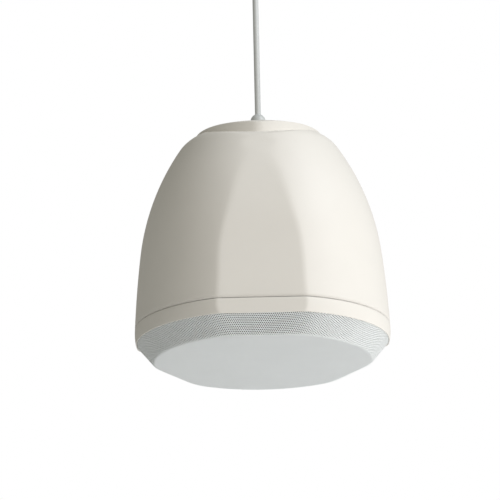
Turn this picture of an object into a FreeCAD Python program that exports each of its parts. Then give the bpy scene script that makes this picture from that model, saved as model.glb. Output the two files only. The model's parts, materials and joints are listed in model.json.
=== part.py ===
import FreeCAD, Part
import math
import os
from FreeCAD import Vector

# Pendant loudspeaker: a bell-shaped moulded enclosure with three shallow facets, a drawn
# grille below, and a two-way coaxial driver inside, hung by its own cable from a ceiling cup.
# Millimetres, +Z up. The origin is the middle of the ceiling plate's top face.
# Heights named ..._Z below are measured from the seam between enclosure and bezel,
# and every finished solid is lowered by SEAM_DROP into the frame of the ceiling.

# Place of the seam below the ceiling
SEAM_DROP = 484.0

# Sizes run from the inside out: the driver sets the ports' circle, that sets the trim ring's
# opening, and the opening sets the seam, the bell above it and the crown on the bell.

# Fits that many pieces share
FIT_GAP = 0.3
SHELL_WALL = 3.2

# Woofer, outwards from its frame's edge. Depths are measured from the front of its flange.
DRIVER_R = 83.0
DRIVER_SEAT_W = 9.0
DRIVER_GASKET_T = 1.2
DRIVER_FLANGE_T = 2.2
DRIVER_SCREW_INSET = 5.0
DRIVER_SCREW_COUNT = 4
DRIVER_SCREW_R = 2.0
BASKET_GAP = 1.4
BASKET_SEAT_W = 6.6
BASKET_SKIRT_H = 9.9
BASKET_WALL = 1.6
BASKET_WINDOWS = 6
BASKET_WINDOW_ANGLE = 40.0
BASKET_WINDOW_LOW = 11.9
SPIDER_LEDGE_R = 48.0
SPIDER_LEDGE_W = 8.0
SPIDER_DEPTH = 32.9
MOTOR_DEPTH = 42.9
MOTOR_SHELF_T = 3.0
MOTOR_R = 44.0
TOP_PLATE_T = 6.0
MAGNET_PROUD = 1.0
MAGNET_BORE_R = 24.0
MAGNET_T = 16.0
BACK_PLATE_T = 6.0
COIL_R = 12.6
COIL_FORMER_T = 0.5
COIL_WINDING_T = 0.5
COIL_GAP = 0.4
COIL_WINDING_H = 12.0
CONE_GLUE_W = 3.0
CONE_T = 0.7
CONE_BOW = 1.5
CONE_DEPTH = 25.9
SURROUND_W = 14.6
SURROUND_EDGE_GAP = 1.1
SURROUND_T = 0.7
SURROUND_ROLL_R = 4.5
SPIDER_T = 0.7
SPIDER_WAVES = 4
SPIDER_WAVE_H = 1.2
TAG_T = 2.0
TAG_W = 14.0
TAG_H = 12.0
TAG_RISE = 16.9
TAG_STAND = 3.6

# Tweeter on a post in the middle of the woofer
POST_R = 3.5
TWEETER_DEPTH = 7.9
TWEETER_R = 19.0
TWEETER_H = 11.0
TWEETER_BASE_T = 3.0
TWEETER_MAGNET_STEP = 0.7
TWEETER_MAGNET_T = 4.0
TWEETER_POLE_T = 3.0
TWEETER_DOME_R = 12.9
TWEETER_DOME_H = 4.2
TWEETER_DOME_T = 0.4
TWEETER_DOME_RISE = 0.6
TWEETER_COIL_H = 3.8
TWEETER_FACE_W = 2.0
TWEETER_FACE_T = 2.4
TWEETER_SURROUND_W = 3.2

# Ports, tap switch, board and transformer, all on one circle outside the driver
PORT_ANGLES = (-45.0, -135.0)
PORT_R = 20.0
PORT_WALL = 2.0
PORT_L = 90.0
PORT_LIP_W = 4.0
PORT_LIP_T = 2.5
PORT_CLEARANCE = 1.0
SWITCH_ANGLE = 90.0
SWITCH_SIZE = 30.0
SWITCH_H = 18.0
SWITCH_FLOOR_T = 4.0
SWITCH_SHAFT_R = 3.0
SWITCH_BUSH_R = 4.5
KNOB_R = 11.0
KNOB_H = 12.0
KNOB_FLUTES = 12
KNOB_FLUTE_R = 1.3
BOARD_ANGLE = 150.0
BOARD_W = 80.0
BOARD_D = 42.0
BOARD_T = 1.6
BOARD_HOLE_INSET = 5.0
BOARD_HOLE_R = 1.6
STANDOFF_H = 6.0
STANDOFF_R = 3.0
INDUCTOR_R = 15.0
INDUCTOR_H = 20.0
INDUCTOR_BORE_R = 4.0
INDUCTOR_FLANGE_T = 1.6
INDUCTOR_FLANGE_W = 2.0
CAPACITOR_R = 6.5
CAPACITOR_L = 26.0
SMALL_CAPACITOR_R = 5.0
SMALL_CAPACITOR_L = 22.0
RESISTOR_W = 6.5
RESISTOR_L = 26.0
RESISTOR_H = 9.0
TRAFO_ANGLE = 30.0
TRAFO_W = 48.0
TRAFO_H = 40.0
TRAFO_D = 20.0
TRAFO_COIL_D = 36.0
STRAP_T = 1.5
STRAP_FOOT = 11.0
STRAP_HOLE_R = 1.8

# Trim ring below the seam: opening for driver and ports, flange, wall
SEAM_GAP = 0.8
BEZEL_FLANGE_GAP = 1.0
BEZEL_FLANGE_W = 16.6
BEZEL_FLANGE_T = 3.0
BEZEL_WALL = 3.1
BEZEL_BULGE = 0.3
BEZEL_BULGE_Z = -7.0
BEZEL_FOOT_INSET = 0.7
BEZEL_BOTTOM_Z = -19.4
BEZEL_EDGE_R = 2.6

# Baffle and its gasket
GASKET_T = 1.5
BAFFLE_T = 4.0
BAFFLE_EDGE_GAP = 0.8
BAFFLE_COLLAR_H = 4.0

# Screws that hold trim ring, baffle and enclosure together
BOSS_INSET = 10.2
BOSS_COUNT = 6
BOSS_FIRST = -60.0
BOSS_R = 7.0
BOSS_H = 34.0
BOSS_ROOF_T = 6.0
BEZEL_SCREW_R = 2.0
BEZEL_SCREW_L = 26.0

# Grille: a drawn dish of thin perforated steel
GRILLE_T = 1.2
GRILLE_GAP = 0.4
GRILLE_TOP_GAP = 2.8
GRILLE_PROUD = 0.2
GRILLE_DEPTH = 23.9
GRILLE_SKIRT_W = 18.5
GRILLE_FACE_FACET = 7.9
GRILLE_BEND_R = 4.0
SCRIM_T = 1.0
SCRIM_INSET = 5.0

# Bell: three tangent arcs from the seam up to the roof.
# A lean is how far the outward normal tips up from level.
SEAM_LEAN = 3.4
FLANK_R = 1275.0
FLANK_LEAN = 7.4
SHOULDER_R = 290.7
SHOULDER_LEAN = 34.4
NECK_R = 44.3
ROOF_LEAN = 90.0

# Three facets, the first one facing -Y. For each arc: (share of that arc, share of the depth).
FACET_COUNT = 3
FACET_FIRST = -90.0
FACET_DEPTH = 9.8
FACET_FADE = (
    ((0.00, 1.00), (0.27, 0.95), (0.55, 0.92), (0.85, 0.84)),
    ((0.12, 0.62), (0.27, 0.475), (0.47, 0.305), (0.70, 0.085), (0.80, 0.05), (0.92, 0.13)),
    ((0.07, 0.47), (0.19, 1.22), (0.37, 2.50), (0.53, 3.90)),
)
FACET_REACH = 260.0
FACET_TIP_RUN = 12.0
FACET_TIP_RISE = 7.0
FACET_OVERRUN = 10.0

# Crown: an upright wall on a rounded three-sided outline round the middle of the roof,
# closed by a flat top with a round shoulder. Heights and widths start from the roof.
CROWN_H = 4.73
CROWN_FLANK_W = 41.15
CROWN_FLANK_BACK = 28.2
CROWN_CORNER_R = 25.0
CROWN_SHOULDER_W = 6.3
CROWN_SHOULDER_R = 26.0
CROWN_FOOT_DEPTH = 29.7
CROWN_EDGE_R = 1.0

# Terminal well sunk in the crown, and the service lid over it
WELL_R = 37.7
WELL_DEPTH = 31.4
WELL_POST_R = 4.5
WELL_POST_H = 14.0
LID_LEDGE_W = 5.0
LID_LEDGE_T = 8.0
LID_T = 3.0
LID_CHAMFER = 0.6
LID_SCREW_INSET = 2.4
LID_SCREW_COUNT = 3
LID_SCREW_FIRST = 30.0
LID_SCREW_R = 1.0
LID_SCREW_PLAY = 0.25

# Wadding inside the bell, measured down from the roof
LINING_TOP_DEPTH = 42.7
LINING_H = 82.0
LINING_T = 30.0

# Suspension and terminals in the well
PLATE_END_GAP = 5.7
PLATE_W = 22.0
PLATE_T = 2.0
PLATE_SCREW_INSET = 8.0
PLATE_SCREW_R = 1.2
FERRULE_WALL = 2.0
FERRULE_H = 4.6
CABLE_TAIL = 0.4
BLOCK_L = 24.0
BLOCK_W = 12.0
BLOCK_H = 9.0
BLOCK_HOLE_R = 2.2
GROMMET_R = 6.0
GROMMET_LIP = 2.0
GROMMET_LIP_T = 1.5
GROMMET_BORE_R = 2.8
GROMMET_INSET = 13.7
GROMMET_ANGLE = -30.0

# Cable and its gland on the lid
CABLE_R = 3.5
GLAND_THREAD_R = 7.9
GLAND_SEAL_W = 2.2
GLAND_THREAD_DEPTH = 0.7
GLAND_HEX = 18.0
GLAND_HEX_H = 3.0
GLAND_NUT_H = 14.8
GLAND_NUT_EDGE = 1.1
GLAND_LIP_W = 0.6
GLAND_CUP_RISE = 1.5
LOCKNUT_HEX = 21.0
LOCKNUT_T = 2.6

# Leads inside
DRIVER_LEAD_R = 0.9
INPUT_LEAD_R = 2.2
INPUT_LEAD_DROP = 10.0

# Ceiling fitting
CEILING_PLATE_GAP = 2.0
CEILING_PLATE_T = 2.0
CEILING_HOLE_INSET = 7.0
CEILING_HOLE_R = 2.25
CEILING_WIRE_R = 7.0
CANOPY_TOP_R = 37.0
CANOPY_TAPER = 8.0
CANOPY_H = 34.0
CANOPY_WALL = 2.0
CANOPY_EDGE_R = 4.0
CUP_SCREW_DROP = 12.0
CUP_HOLE_R = 1.8
CUP_SCREW_SEAT = 0.75
EAR_T = 2.0
EAR_W = 12.0
EAR_FOOT = 6.0
EAR_GAP = 0.8
GRIP_R = 8.0
GRIP_STEP = 2.0
GRIP_H = 12.0
GRIP_SHOULDER_H = 3.0
GRIP_STEM_H = 4.0
GRIP_NUT_T = 3.0

# Radii that follow, from the driver out to the seam
DRIVER_CUTOUT_R = DRIVER_R - DRIVER_SEAT_W
DRIVER_SCREW_PCR = DRIVER_R - DRIVER_SCREW_INSET
BASKET_R = DRIVER_CUTOUT_R - BASKET_GAP
BASKET_INNER_R = BASKET_R - BASKET_SEAT_W
CONE_R = BASKET_R - SURROUND_W
PORT_LIP_R = PORT_R + PORT_LIP_W
SIDE_PCR = DRIVER_R + PORT_CLEARANCE + PORT_LIP_R
BEZEL_FLANGE_R = SIDE_PCR + PORT_LIP_R + BEZEL_FLANGE_GAP
BEZEL_BORE = BEZEL_FLANGE_R + BEZEL_FLANGE_W
SEAM_R = BEZEL_BORE + BEZEL_WALL
BEZEL_R = SEAM_R + BEZEL_BULGE
BEZEL_FACET = SEAM_R - FACET_DEPTH
BAFFLE_R = BEZEL_BORE - BAFFLE_EDGE_GAP
BOSS_PCR = SEAM_R - BOSS_INSET
GRILLE_FACE_R = BEZEL_BORE - GRILLE_GAP - GRILLE_SKIRT_W

# Radii that follow inside the driver
POLE_R = COIL_R - COIL_GAP
COIL_OUT = COIL_R + COIL_FORMER_T
WINDING_OUT = COIL_OUT + COIL_WINDING_T
MAGNET_R = MOTOR_R + MAGNET_PROUD
TWEETER_POLE_R = TWEETER_DOME_R - TWEETER_DOME_T - FIT_GAP
TWEETER_MAGNET_R = TWEETER_POLE_R - TWEETER_MAGNET_STEP
TWEETER_FACE_R = TWEETER_R + TWEETER_FACE_W

# Heights that follow, from the seam down to the grille's face
BAFFLE_BACK = -GASKET_T
BAFFLE_FRONT = BAFFLE_BACK - BAFFLE_T
FLANGE_TOP = BAFFLE_FRONT - FIT_GAP
FLANGE_BOTTOM = FLANGE_TOP - BEZEL_FLANGE_T
GRILLE_TOP_Z = FLANGE_BOTTOM - GRILLE_TOP_GAP
GRILLE_SHOULDER_Z = BEZEL_BOTTOM_Z - GRILLE_PROUD
GRILLE_FACE_Z = GRILLE_SHOULDER_Z - GRILLE_DEPTH

# Heights that follow in the driver and on the board
DRIVER_SEAT = BAFFLE_FRONT - DRIVER_GASKET_T
DRIVER_FRONT = DRIVER_SEAT - DRIVER_FLANGE_T
SPIDER_LEDGE_Z = DRIVER_FRONT + SPIDER_DEPTH
MOTOR_SHELF_Z = DRIVER_FRONT + MOTOR_DEPTH
TOP_PLATE_Z = MOTOR_SHELF_Z + TOP_PLATE_T
MAGNET_Z = TOP_PLATE_Z + MAGNET_T
CONE_NECK_Z = DRIVER_FRONT + CONE_DEPTH
TWEETER_BACK_Z = DRIVER_FRONT + TWEETER_DEPTH
BOARD_Z = BAFFLE_BACK + STANDOFF_H
BOARD_TOP = BOARD_Z + BOARD_T

os.makedirs("parts", exist_ok=True)
AXIS = Vector(0, 0, 1)
TOP = 400.0


def polar(radius, angle, z=0.0):
    """The point at a radius and an angle in degrees round the Z axis."""
    turn = math.radians(angle)
    return Vector(radius * math.cos(turn), radius * math.sin(turn), z)


def save(name, *shapes):
    """Lower the solids from seam heights to ceiling heights and write them as one node."""
    shape = shapes[0] if len(shapes) == 1 else Part.makeCompound(list(shapes))
    placed = shape.copy()
    placed.translate(Vector(0, 0, -SEAM_DROP))
    placed.exportStep("parts/" + name + ".step")
    print(name, len(placed.Solids), "solid(s)", round(placed.Volume / 1000.0, 2), "cm3")


def turned(shape, angle):
    """A copy turned about the Z axis."""
    copy = shape.copy()
    copy.rotate(Vector(0, 0, 0), AXIS, angle)
    return copy


def moved(shape, place):
    """A copy moved by a vector."""
    copy = shape.copy()
    copy.translate(place)
    return copy


def ring_of(shape, count, first=0.0):
    """Copies of a solid spread evenly about the Z axis."""
    return [turned(shape, first + 360.0 * k / count) for k in range(count)]


def cylinder(radius, z_low, z_high, x=0.0, y=0.0):
    """An upright cylinder between two heights."""
    return Part.makeCylinder(radius, z_high - z_low, Vector(x, y, z_low))


def tube(outer, inner, z_low, z_high, x=0.0, y=0.0):
    """An upright tube between two heights."""
    return cylinder(outer, z_low, z_high, x, y).cut(cylinder(inner, z_low, z_high, x, y))


def block(x_size, y_size, z_low, z_high, edge=0.0):
    """A block centred on the Z axis, with its upright edges rounded."""
    box = Part.makeBox(x_size, y_size, z_high - z_low, Vector(-x_size / 2, -y_size / 2, z_low))
    if edge > 0:
        upright = [e for e in box.Edges if abs(e.Vertexes[0].Z - e.Vertexes[1].Z) > 1e-6]
        box = box.makeFillet(edge, upright)
    return box


def hexagon(across_flats, z_low, z_high):
    """An upright hexagonal prism."""
    corner = across_flats / math.sqrt(3.0)
    points = [polar(corner, 60.0 * k, z_low) for k in range(7)]
    face = Part.Face(Part.makePolygon(points))
    return face.extrude(Vector(0, 0, z_high - z_low))


def flat_point(place):
    """A profile point (distance from the axis, height) in the XZ plane."""
    return Vector(place[0], 0, place[1])


def rounded_path(points):
    """Edges of a line through (x, z, corner radius) points, with an arc at each rounded corner."""
    edges = []
    start = Vector(points[0][0], 0, points[0][1])
    for before, here, after in zip(points, points[1:], points[2:]):
        corner = Vector(here[0], 0, here[1])
        back = (Vector(before[0], 0, before[1]) - corner).normalize()
        ahead = (Vector(after[0], 0, after[1]) - corner).normalize()
        if here[2] <= 0:
            edges.append(Part.LineSegment(start, corner).toShape())
            start = corner
            continue
        half = back.getAngle(ahead) / 2
        reach = here[2] / math.tan(half)
        middle = (back + ahead).normalize() * (here[2] / math.sin(half) - here[2])
        enter = corner + back * reach
        leave = corner + ahead * reach
        edges.append(Part.LineSegment(start, enter).toShape())
        edges.append(Part.Arc(enter, corner + middle, leave).toShape())
        start = leave
    end = Vector(points[-1][0], 0, points[-1][1])
    edges.append(Part.LineSegment(start, end).toShape())
    return edges


def closed_face(edges):
    """A flat face from profile edges, closed by a straight line."""
    wire = Part.Wire(Part.__sortEdges__(edges))
    ends = wire.OrderedVertexes
    first, last = ends[0].Point, ends[-1].Point
    if first.distanceToPoint(last) > 1e-6:
        edges = edges + [Part.LineSegment(last, first).toShape()]
        wire = Part.Wire(Part.__sortEdges__(edges))
    return Part.Face(wire)


def spun(edges):
    """A solid of revolution about the Z axis from profile edges."""
    return closed_face(edges).revolve(Vector(0, 0, 0), AXIS, 360)


def spun_path(points):
    """A solid of revolution from (x, z, corner radius) points; the profile closes itself."""
    return spun(rounded_path(points))


def facet_block(edges):
    """All the space on the axis side of one facet: its profile carried along the facet.
    The profile is drawn in the XZ plane, so this facet looks along +X."""
    face = closed_face(edges)
    face.translate(Vector(0, -FACET_REACH, 0))
    return face.extrude(Vector(0, 2 * FACET_REACH, 0))


def faceted(solid, edges):
    """A solid cut back to its three facets, which share one profile."""
    side = facet_block(edges)
    for angle in facet_angles():
        solid = solid.common(turned(side, angle))
    return solid


def facet_angles():
    """The directions that the facets look in."""
    return [FACET_FIRST + 360.0 * k / FACET_COUNT for k in range(FACET_COUNT)]


def facet_walls(distance, z_low, z_high):
    """The profile of an upright facet at one distance from the axis."""
    return rounded_path([
        (-FACET_REACH, z_low, 0), (distance, z_low, 0), (distance, z_high, 0), (-FACET_REACH, z_high, 0),
    ])


# Bell

def bell_arcs():
    """(centre x, centre z, radius, first lean, last lean) of the bell's tangent arcs."""
    arcs = []
    x, z, lean = SEAM_R, 0.0, SEAM_LEAN
    for radius, end in ((FLANK_R, FLANK_LEAN), (SHOULDER_R, SHOULDER_LEAN), (NECK_R, ROOF_LEAN)):
        centre_x = x - radius * math.cos(math.radians(lean))
        centre_z = z - radius * math.sin(math.radians(lean))
        arcs.append((centre_x, centre_z, radius, lean, end))
        x = centre_x + radius * math.cos(math.radians(end))
        z = centre_z + radius * math.sin(math.radians(end))
        lean = end
    return arcs


def bell_point(arc, share, inset=0.0):
    """The point at a share of one arc, on a curve that runs inset inside the bell."""
    centre_x, centre_z, radius, first, last = bell_arcs()[arc]
    lean = math.radians(first + share * (last - first))
    reach = radius - inset
    return (centre_x + reach * math.cos(lean), centre_z + reach * math.sin(lean))


def bell_turning(inset, z_low):
    """The bell as a plain turned body, or a smaller one that runs inset inside it."""
    start = bell_point(0, 0.0, inset)
    edges = [Part.LineSegment(Vector(0, 0, z_low), Vector(start[0], 0, z_low)).toShape()]
    if start[1] - z_low > 1e-6:
        edges.append(Part.LineSegment(Vector(start[0], 0, z_low), flat_point(start)).toShape())
    for arc in range(3):
        stops = [flat_point(bell_point(arc, share, inset)) for share in (0.0, 0.5, 1.0)]
        edges.append(Part.Arc(*stops).toShape())
    roof = bell_point(2, 1.0, inset)
    edges.append(Part.LineSegment(flat_point(roof), Vector(0, 0, roof[1])).toShape())
    return spun(edges)


def bell_solid(inset, z_low):
    """The bell with its facets, or a smaller one that runs inset inside it."""
    return faceted(bell_turning(inset, z_low), bell_facet(inset, z_low))


def bell_facet(inset, z_low):
    """The profile of a facet on the bell: the bell's own profile, set in by the fading depth."""
    points = []
    for arc, stops in enumerate(FACET_FADE):
        for share, fade in stops:
            x, z = bell_point(arc, share)
            points.append(Vector(x - fade * FACET_DEPTH, 0, z))
    if inset > 0:
        points = parallel(points, inset)
    curve = Part.BSplineCurve()
    curve.interpolate(points)
    first, last = points[0], points[-1]
    lift = last + Vector(-FACET_TIP_RUN, 0, FACET_TIP_RISE)
    foot = Vector(first.x, 0, z_low - FACET_OVERRUN)
    corners = [last, lift, Vector(-FACET_REACH, 0, lift.z), Vector(-FACET_REACH, 0, foot.z), foot, first]
    lines = [Part.LineSegment(a, b).toShape() for a, b in zip(corners, corners[1:])]
    return [curve.toShape()] + lines


def parallel(points, inset):
    """Points moved square to their own line, towards the axis."""
    result = []
    for k, point in enumerate(points):
        ahead = points[min(k + 1, len(points) - 1)]
        behind = points[max(k - 1, 0)]
        along = (ahead - behind).normalize()
        result.append(point + Vector(-along.z, 0, along.x) * inset)
    return result


# Crown, well, lid and gland sizes that follow from the middle and the height of the roof

ROOF_R = bell_arcs()[2][0]
ROOF_Z = bell_arcs()[2][1] + NECK_R
CROWN_TOP_Z = ROOF_Z + CROWN_H
CROWN_FOOT_Z = ROOF_Z - CROWN_FOOT_DEPTH
CROWN_FLANK_R = ROOF_R + CROWN_FLANK_W
CROWN_SHOULDER_FROM = CROWN_FLANK_R - CROWN_FLANK_BACK - CROWN_SHOULDER_W
WELL_FLOOR_Z = CROWN_TOP_Z - WELL_DEPTH
PLATE_Z = WELL_FLOOR_Z + WELL_POST_H
PLATE_L = 2 * (WELL_R - PLATE_END_GAP)
PLATE_SCREW_X = PLATE_L / 2 - PLATE_SCREW_INSET
GROMMET_PCR = WELL_R - GROMMET_INSET
LID_R = WELL_R + LID_LEDGE_W
LID_SCREW_PCR = LID_R - LID_SCREW_INSET
LID_LOW = CROWN_TOP_Z - LID_T
HEX_TOP = CROWN_TOP_Z + GLAND_HEX_H
GLAND_BORE_R = CABLE_R + FIT_GAP
SEAL_R = GLAND_THREAD_R - GLAND_SEAL_W
GLAND_DOME_R = GLAND_THREAD_R + GLAND_NUT_EDGE
NUT_BORE = GLAND_THREAD_R - GLAND_THREAD_DEPTH
GLAND_DOME_Z = CROWN_TOP_Z + GLAND_NUT_H


# Crown

def crown_outline(inset, z_low):
    """The rounded three-sided outline: flank arcs between facets and a corner arc over each facet."""
    flank = CROWN_FLANK_R - inset
    corner = CROWN_CORNER_R - inset
    back = CROWN_FLANK_BACK
    gap = flank - corner
    corner_out = math.sqrt(gap ** 2 - 0.75 * back ** 2) - back / 2
    edges = []
    for angle in facet_angles():
        corner_centre = polar(corner_out, angle, z_low)
        joins = []
        for side in (-60.0, 60.0):
            flank_centre = polar(back, angle + side + 180.0, z_low)
            joins.append(flank_centre + (corner_centre - flank_centre).normalize() * flank)
        edges.append(Part.Arc(joins[0], polar(corner_out + corner, angle, z_low), joins[1]).toShape())
        middle = polar(flank - back, angle + 60.0, z_low)
        following = turned(Part.Vertex(joins[0]), 360.0 / FACET_COUNT).Point
        edges.append(Part.Arc(joins[1], middle, following).toShape())
    return Part.Face(Part.Wire(Part.__sortEdges__(edges)))


def crown_solid(inset):
    """The crown as a full body from inside the bell to its top, or one that runs inset inside it."""
    prism = crown_outline(inset, CROWN_FOOT_Z).extrude(Vector(0, 0, TOP))
    start, low = CROWN_SHOULDER_FROM, CROWN_FOOT_Z - 5
    reach = CROWN_SHOULDER_R - inset
    middle = CROWN_TOP_Z - CROWN_SHOULDER_R
    arc = [Vector(start, 0, middle) + Vector(reach * math.sin(lean), 0, reach * math.cos(lean))
           for lean in (math.radians(60), math.radians(30), 0.0)]
    foot = Vector(arc[0].x, 0, low)
    edges = [
        Part.LineSegment(Vector(0, 0, low), foot).toShape(),
        Part.LineSegment(foot, arc[0]).toShape(),
        Part.Arc(*arc).toShape(),
        Part.LineSegment(arc[2], Vector(0, 0, arc[2].z)).toShape(),
    ]
    return prism.common(spun(edges))


def terminal_well():
    """The cup under the service lid: wall, floor, the lid's ledge and two posts for the bridge."""
    low = WELL_FLOOR_Z - SHELL_WALL
    well = cylinder(WELL_R + SHELL_WALL, low, LID_LOW)
    well = well.fuse(cylinder(LID_R + FIT_GAP + SHELL_WALL, LID_LOW - LID_LEDGE_T, LID_LOW))
    well = well.cut(cylinder(WELL_R, WELL_FLOOR_Z, TOP))
    for side in (-1, 1):
        well = well.fuse(cylinder(WELL_POST_R, WELL_FLOOR_Z - 1, PLATE_Z, 0, side * PLATE_SCREW_X))
        well = well.cut(cylinder(PLATE_SCREW_R + FIT_GAP, WELL_FLOOR_Z, PLATE_Z + 1, 0, side * PLATE_SCREW_X))
    feed = cylinder(GROMMET_R, low - 1, WELL_FLOOR_Z + 1, GROMMET_PCR)
    return well.cut(turned(feed, GROMMET_ANGLE))


def enclosure_shell():
    """One moulding in an even wall: bell and crown, with the well and the screw bosses inside."""
    bell = bell_solid(0.0, 0.0)
    crown = crown_solid(0.0)
    rim = [e for e in crown.Edges
           if e.BoundBox.ZMin > CROWN_TOP_Z - 10 and e.BoundBox.ZMax < CROWN_TOP_Z - 0.1]
    crown = crown.makeFillet(CROWN_EDGE_R, rim)
    shell = bell.fuse(crown).cut(bell_solid(SHELL_WALL, -1.0)).cut(crown_solid(SHELL_WALL))
    shell = shell.cut(cylinder(LID_R + FIT_GAP, LID_LOW, TOP))
    shell = shell.cut(cylinder(WELL_R, WELL_FLOOR_Z, TOP)).fuse(terminal_well())
    pilot = cylinder(LID_SCREW_R + LID_SCREW_PLAY, LID_LOW - LID_LEDGE_T + 1, TOP, LID_SCREW_PCR)
    for hole in ring_of(pilot, LID_SCREW_COUNT, LID_SCREW_FIRST):
        shell = shell.cut(hole)
    for boss in ring_of(cylinder(BOSS_R, 0, BOSS_H, BOSS_PCR), BOSS_COUNT, BOSS_FIRST):
        shell = shell.fuse(boss.common(bell))
    pilot = cylinder(BEZEL_SCREW_R + FIT_GAP, -1, BOSS_H - BOSS_ROOF_T, BOSS_PCR)
    for hole in ring_of(pilot, BOSS_COUNT, BOSS_FIRST):
        shell = shell.cut(hole)
    return shell.removeSplitter()


def screw(radius, head_r, head_h, length):
    """A pan-head screw hanging head down from z = 0, with a cross-shaped driver recess."""
    shank = cylinder(radius, 0, length)
    head = spun_path([(0, 0, 0), (head_r, 0, 0), (head_r, -head_h, head_h * 0.6), (0, -head_h, 0)])
    slot = block(head_r, head_r * 0.28, -head_h - 1, -head_h * 0.45)
    return head.fuse(shank).cut(slot).cut(turned(slot, 90)).removeSplitter()


def round_plate(radius, facet, z_low, z_high):
    """A disc with the enclosure's three facets."""
    disc = cylinder(radius, z_low, z_high)
    return faceted(disc, facet_walls(facet, z_low - 1, z_high + 1))


# Bezel, baffle and grille

def bezel_screw_holes():
    """The holes through trim ring, baffle and gasket, on the bosses' circle."""
    one = cylinder(BEZEL_SCREW_R + FIT_GAP, BEZEL_BOTTOM_Z, 1, BOSS_PCR)
    return ring_of(one, BOSS_COUNT, BOSS_FIRST)


def front_bezel():
    """The trim ring: barrel-shaped wall with facets, and an inner flange for the screws."""
    low_r = BEZEL_R - BEZEL_FOOT_INSET
    edges = [
        Part.LineSegment(Vector(0, 0, BEZEL_BOTTOM_Z), Vector(low_r, 0, BEZEL_BOTTOM_Z)).toShape(),
        Part.Arc(
            Vector(low_r, 0, BEZEL_BOTTOM_Z),
            Vector(BEZEL_R, 0, BEZEL_BULGE_Z),
            Vector(SEAM_R, 0, -SEAM_GAP),
        ).toShape(),
        Part.LineSegment(Vector(SEAM_R, 0, -SEAM_GAP), Vector(0, 0, -SEAM_GAP)).toShape(),
    ]
    body = faceted(spun(edges), facet_walls(BEZEL_FACET, BEZEL_BOTTOM_Z - 1, 1.0))
    bottom = [e for e in body.Edges if e.BoundBox.ZMax < BEZEL_BOTTOM_Z + 0.01]
    body = body.makeFillet(BEZEL_EDGE_R, bottom)
    inner_facet = BEZEL_FACET - BEZEL_WALL
    body = body.cut(round_plate(BEZEL_BORE, inner_facet, BEZEL_BOTTOM_Z - 1, FLANGE_BOTTOM))
    body = body.cut(round_plate(BEZEL_BORE, inner_facet, FLANGE_TOP, 1.0))
    body = body.cut(cylinder(BEZEL_FLANGE_R, FLANGE_BOTTOM - 1, FLANGE_TOP + 1))
    for hole in bezel_screw_holes():
        body = body.cut(hole)
    return body.removeSplitter()


def board_hole_places():
    """Screw places of the crossover board, before it is turned to its angle."""
    x, y = BOARD_D / 2 - BOARD_HOLE_INSET, BOARD_W / 2 - BOARD_HOLE_INSET
    return [(SIDE_PCR + a * x, b * y) for a in (-1, 1) for b in (-1, 1)]


def strap_hole_places():
    """Screw places of the transformer strap, before it is turned to its angle."""
    return [(SIDE_PCR, side * (TRAFO_W / 2 + STRAP_T + STRAP_FOOT / 2)) for side in (-1, 1)]


def front_baffle():
    """The plate that carries driver, ports, board, transformer and tap switch."""
    baffle = round_plate(BAFFLE_R, BEZEL_FACET - BEZEL_WALL - BAFFLE_EDGE_GAP, BAFFLE_FRONT, BAFFLE_BACK)
    collar = tube(DRIVER_R + PORT_CLEARANCE, DRIVER_R - 2, BAFFLE_BACK, BAFFLE_BACK + BAFFLE_COLLAR_H)
    baffle = baffle.fuse(collar)
    for x, y in board_hole_places():
        standoff = cylinder(STANDOFF_R, BAFFLE_BACK, BOARD_Z, x, y)
        baffle = baffle.fuse(turned(standoff, BOARD_ANGLE))
        pilot = cylinder(BOARD_HOLE_R, BAFFLE_BACK + 0.5, BOARD_Z + 1, x, y)
        baffle = baffle.cut(turned(pilot, BOARD_ANGLE))
    for x, y in strap_hole_places():
        baffle = baffle.cut(turned(cylinder(STRAP_HOLE_R, BAFFLE_FRONT + 0.8, 1, x, y), TRAFO_ANGLE))
    baffle = baffle.cut(cylinder(DRIVER_CUTOUT_R, BAFFLE_FRONT - 1, 1))
    for angle in PORT_ANGLES:
        baffle = baffle.cut(turned(cylinder(PORT_R + FIT_GAP, BAFFLE_FRONT - 1, 1, SIDE_PCR), angle))
    bush = cylinder(SWITCH_BUSH_R + FIT_GAP, BAFFLE_FRONT - 1, 1, SIDE_PCR)
    baffle = baffle.cut(turned(bush, SWITCH_ANGLE))
    pilot = cylinder(DRIVER_SCREW_R + FIT_GAP, BAFFLE_FRONT - 1, 1, DRIVER_SCREW_PCR)
    for hole in bezel_screw_holes() + ring_of(pilot, DRIVER_SCREW_COUNT, 0.0):
        baffle = baffle.cut(hole)
    return baffle.removeSplitter()


def baffle_gasket():
    """The flat foam ring between baffle and enclosure, pierced by the screws."""
    ring = round_plate(BAFFLE_R, BEZEL_FACET - BEZEL_WALL - BAFFLE_EDGE_GAP, BAFFLE_BACK, 0)
    ring = ring.cut(cylinder(BEZEL_FLANGE_R, -5, 1))
    for hole in bezel_screw_holes():
        ring = ring.cut(hole)
    return ring


def dish_path(rim_r, face_r, inset):
    """The grille's profile, or the one that runs inset inside it."""
    drop = GRILLE_SHOULDER_Z - GRILLE_FACE_Z
    slope = math.atan2(drop, rim_r - face_r)
    inner_face = face_r - inset * math.tan(slope / 2)
    inner_rim = rim_r - inset
    rise = (inner_rim - face_r + inset / math.sin(slope)) * math.tan(slope)
    bend = GRILLE_BEND_R - inset
    collar_top = GRILLE_TOP_Z + (1 if inset > 0 else 0)
    return rounded_path([
        (0, GRILLE_FACE_Z + inset, 0),
        (inner_face, GRILLE_FACE_Z + inset, bend),
        (inner_rim, GRILLE_FACE_Z + rise, bend),
        (inner_rim, collar_top, 0),
        (0, collar_top, 0),
    ])


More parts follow.
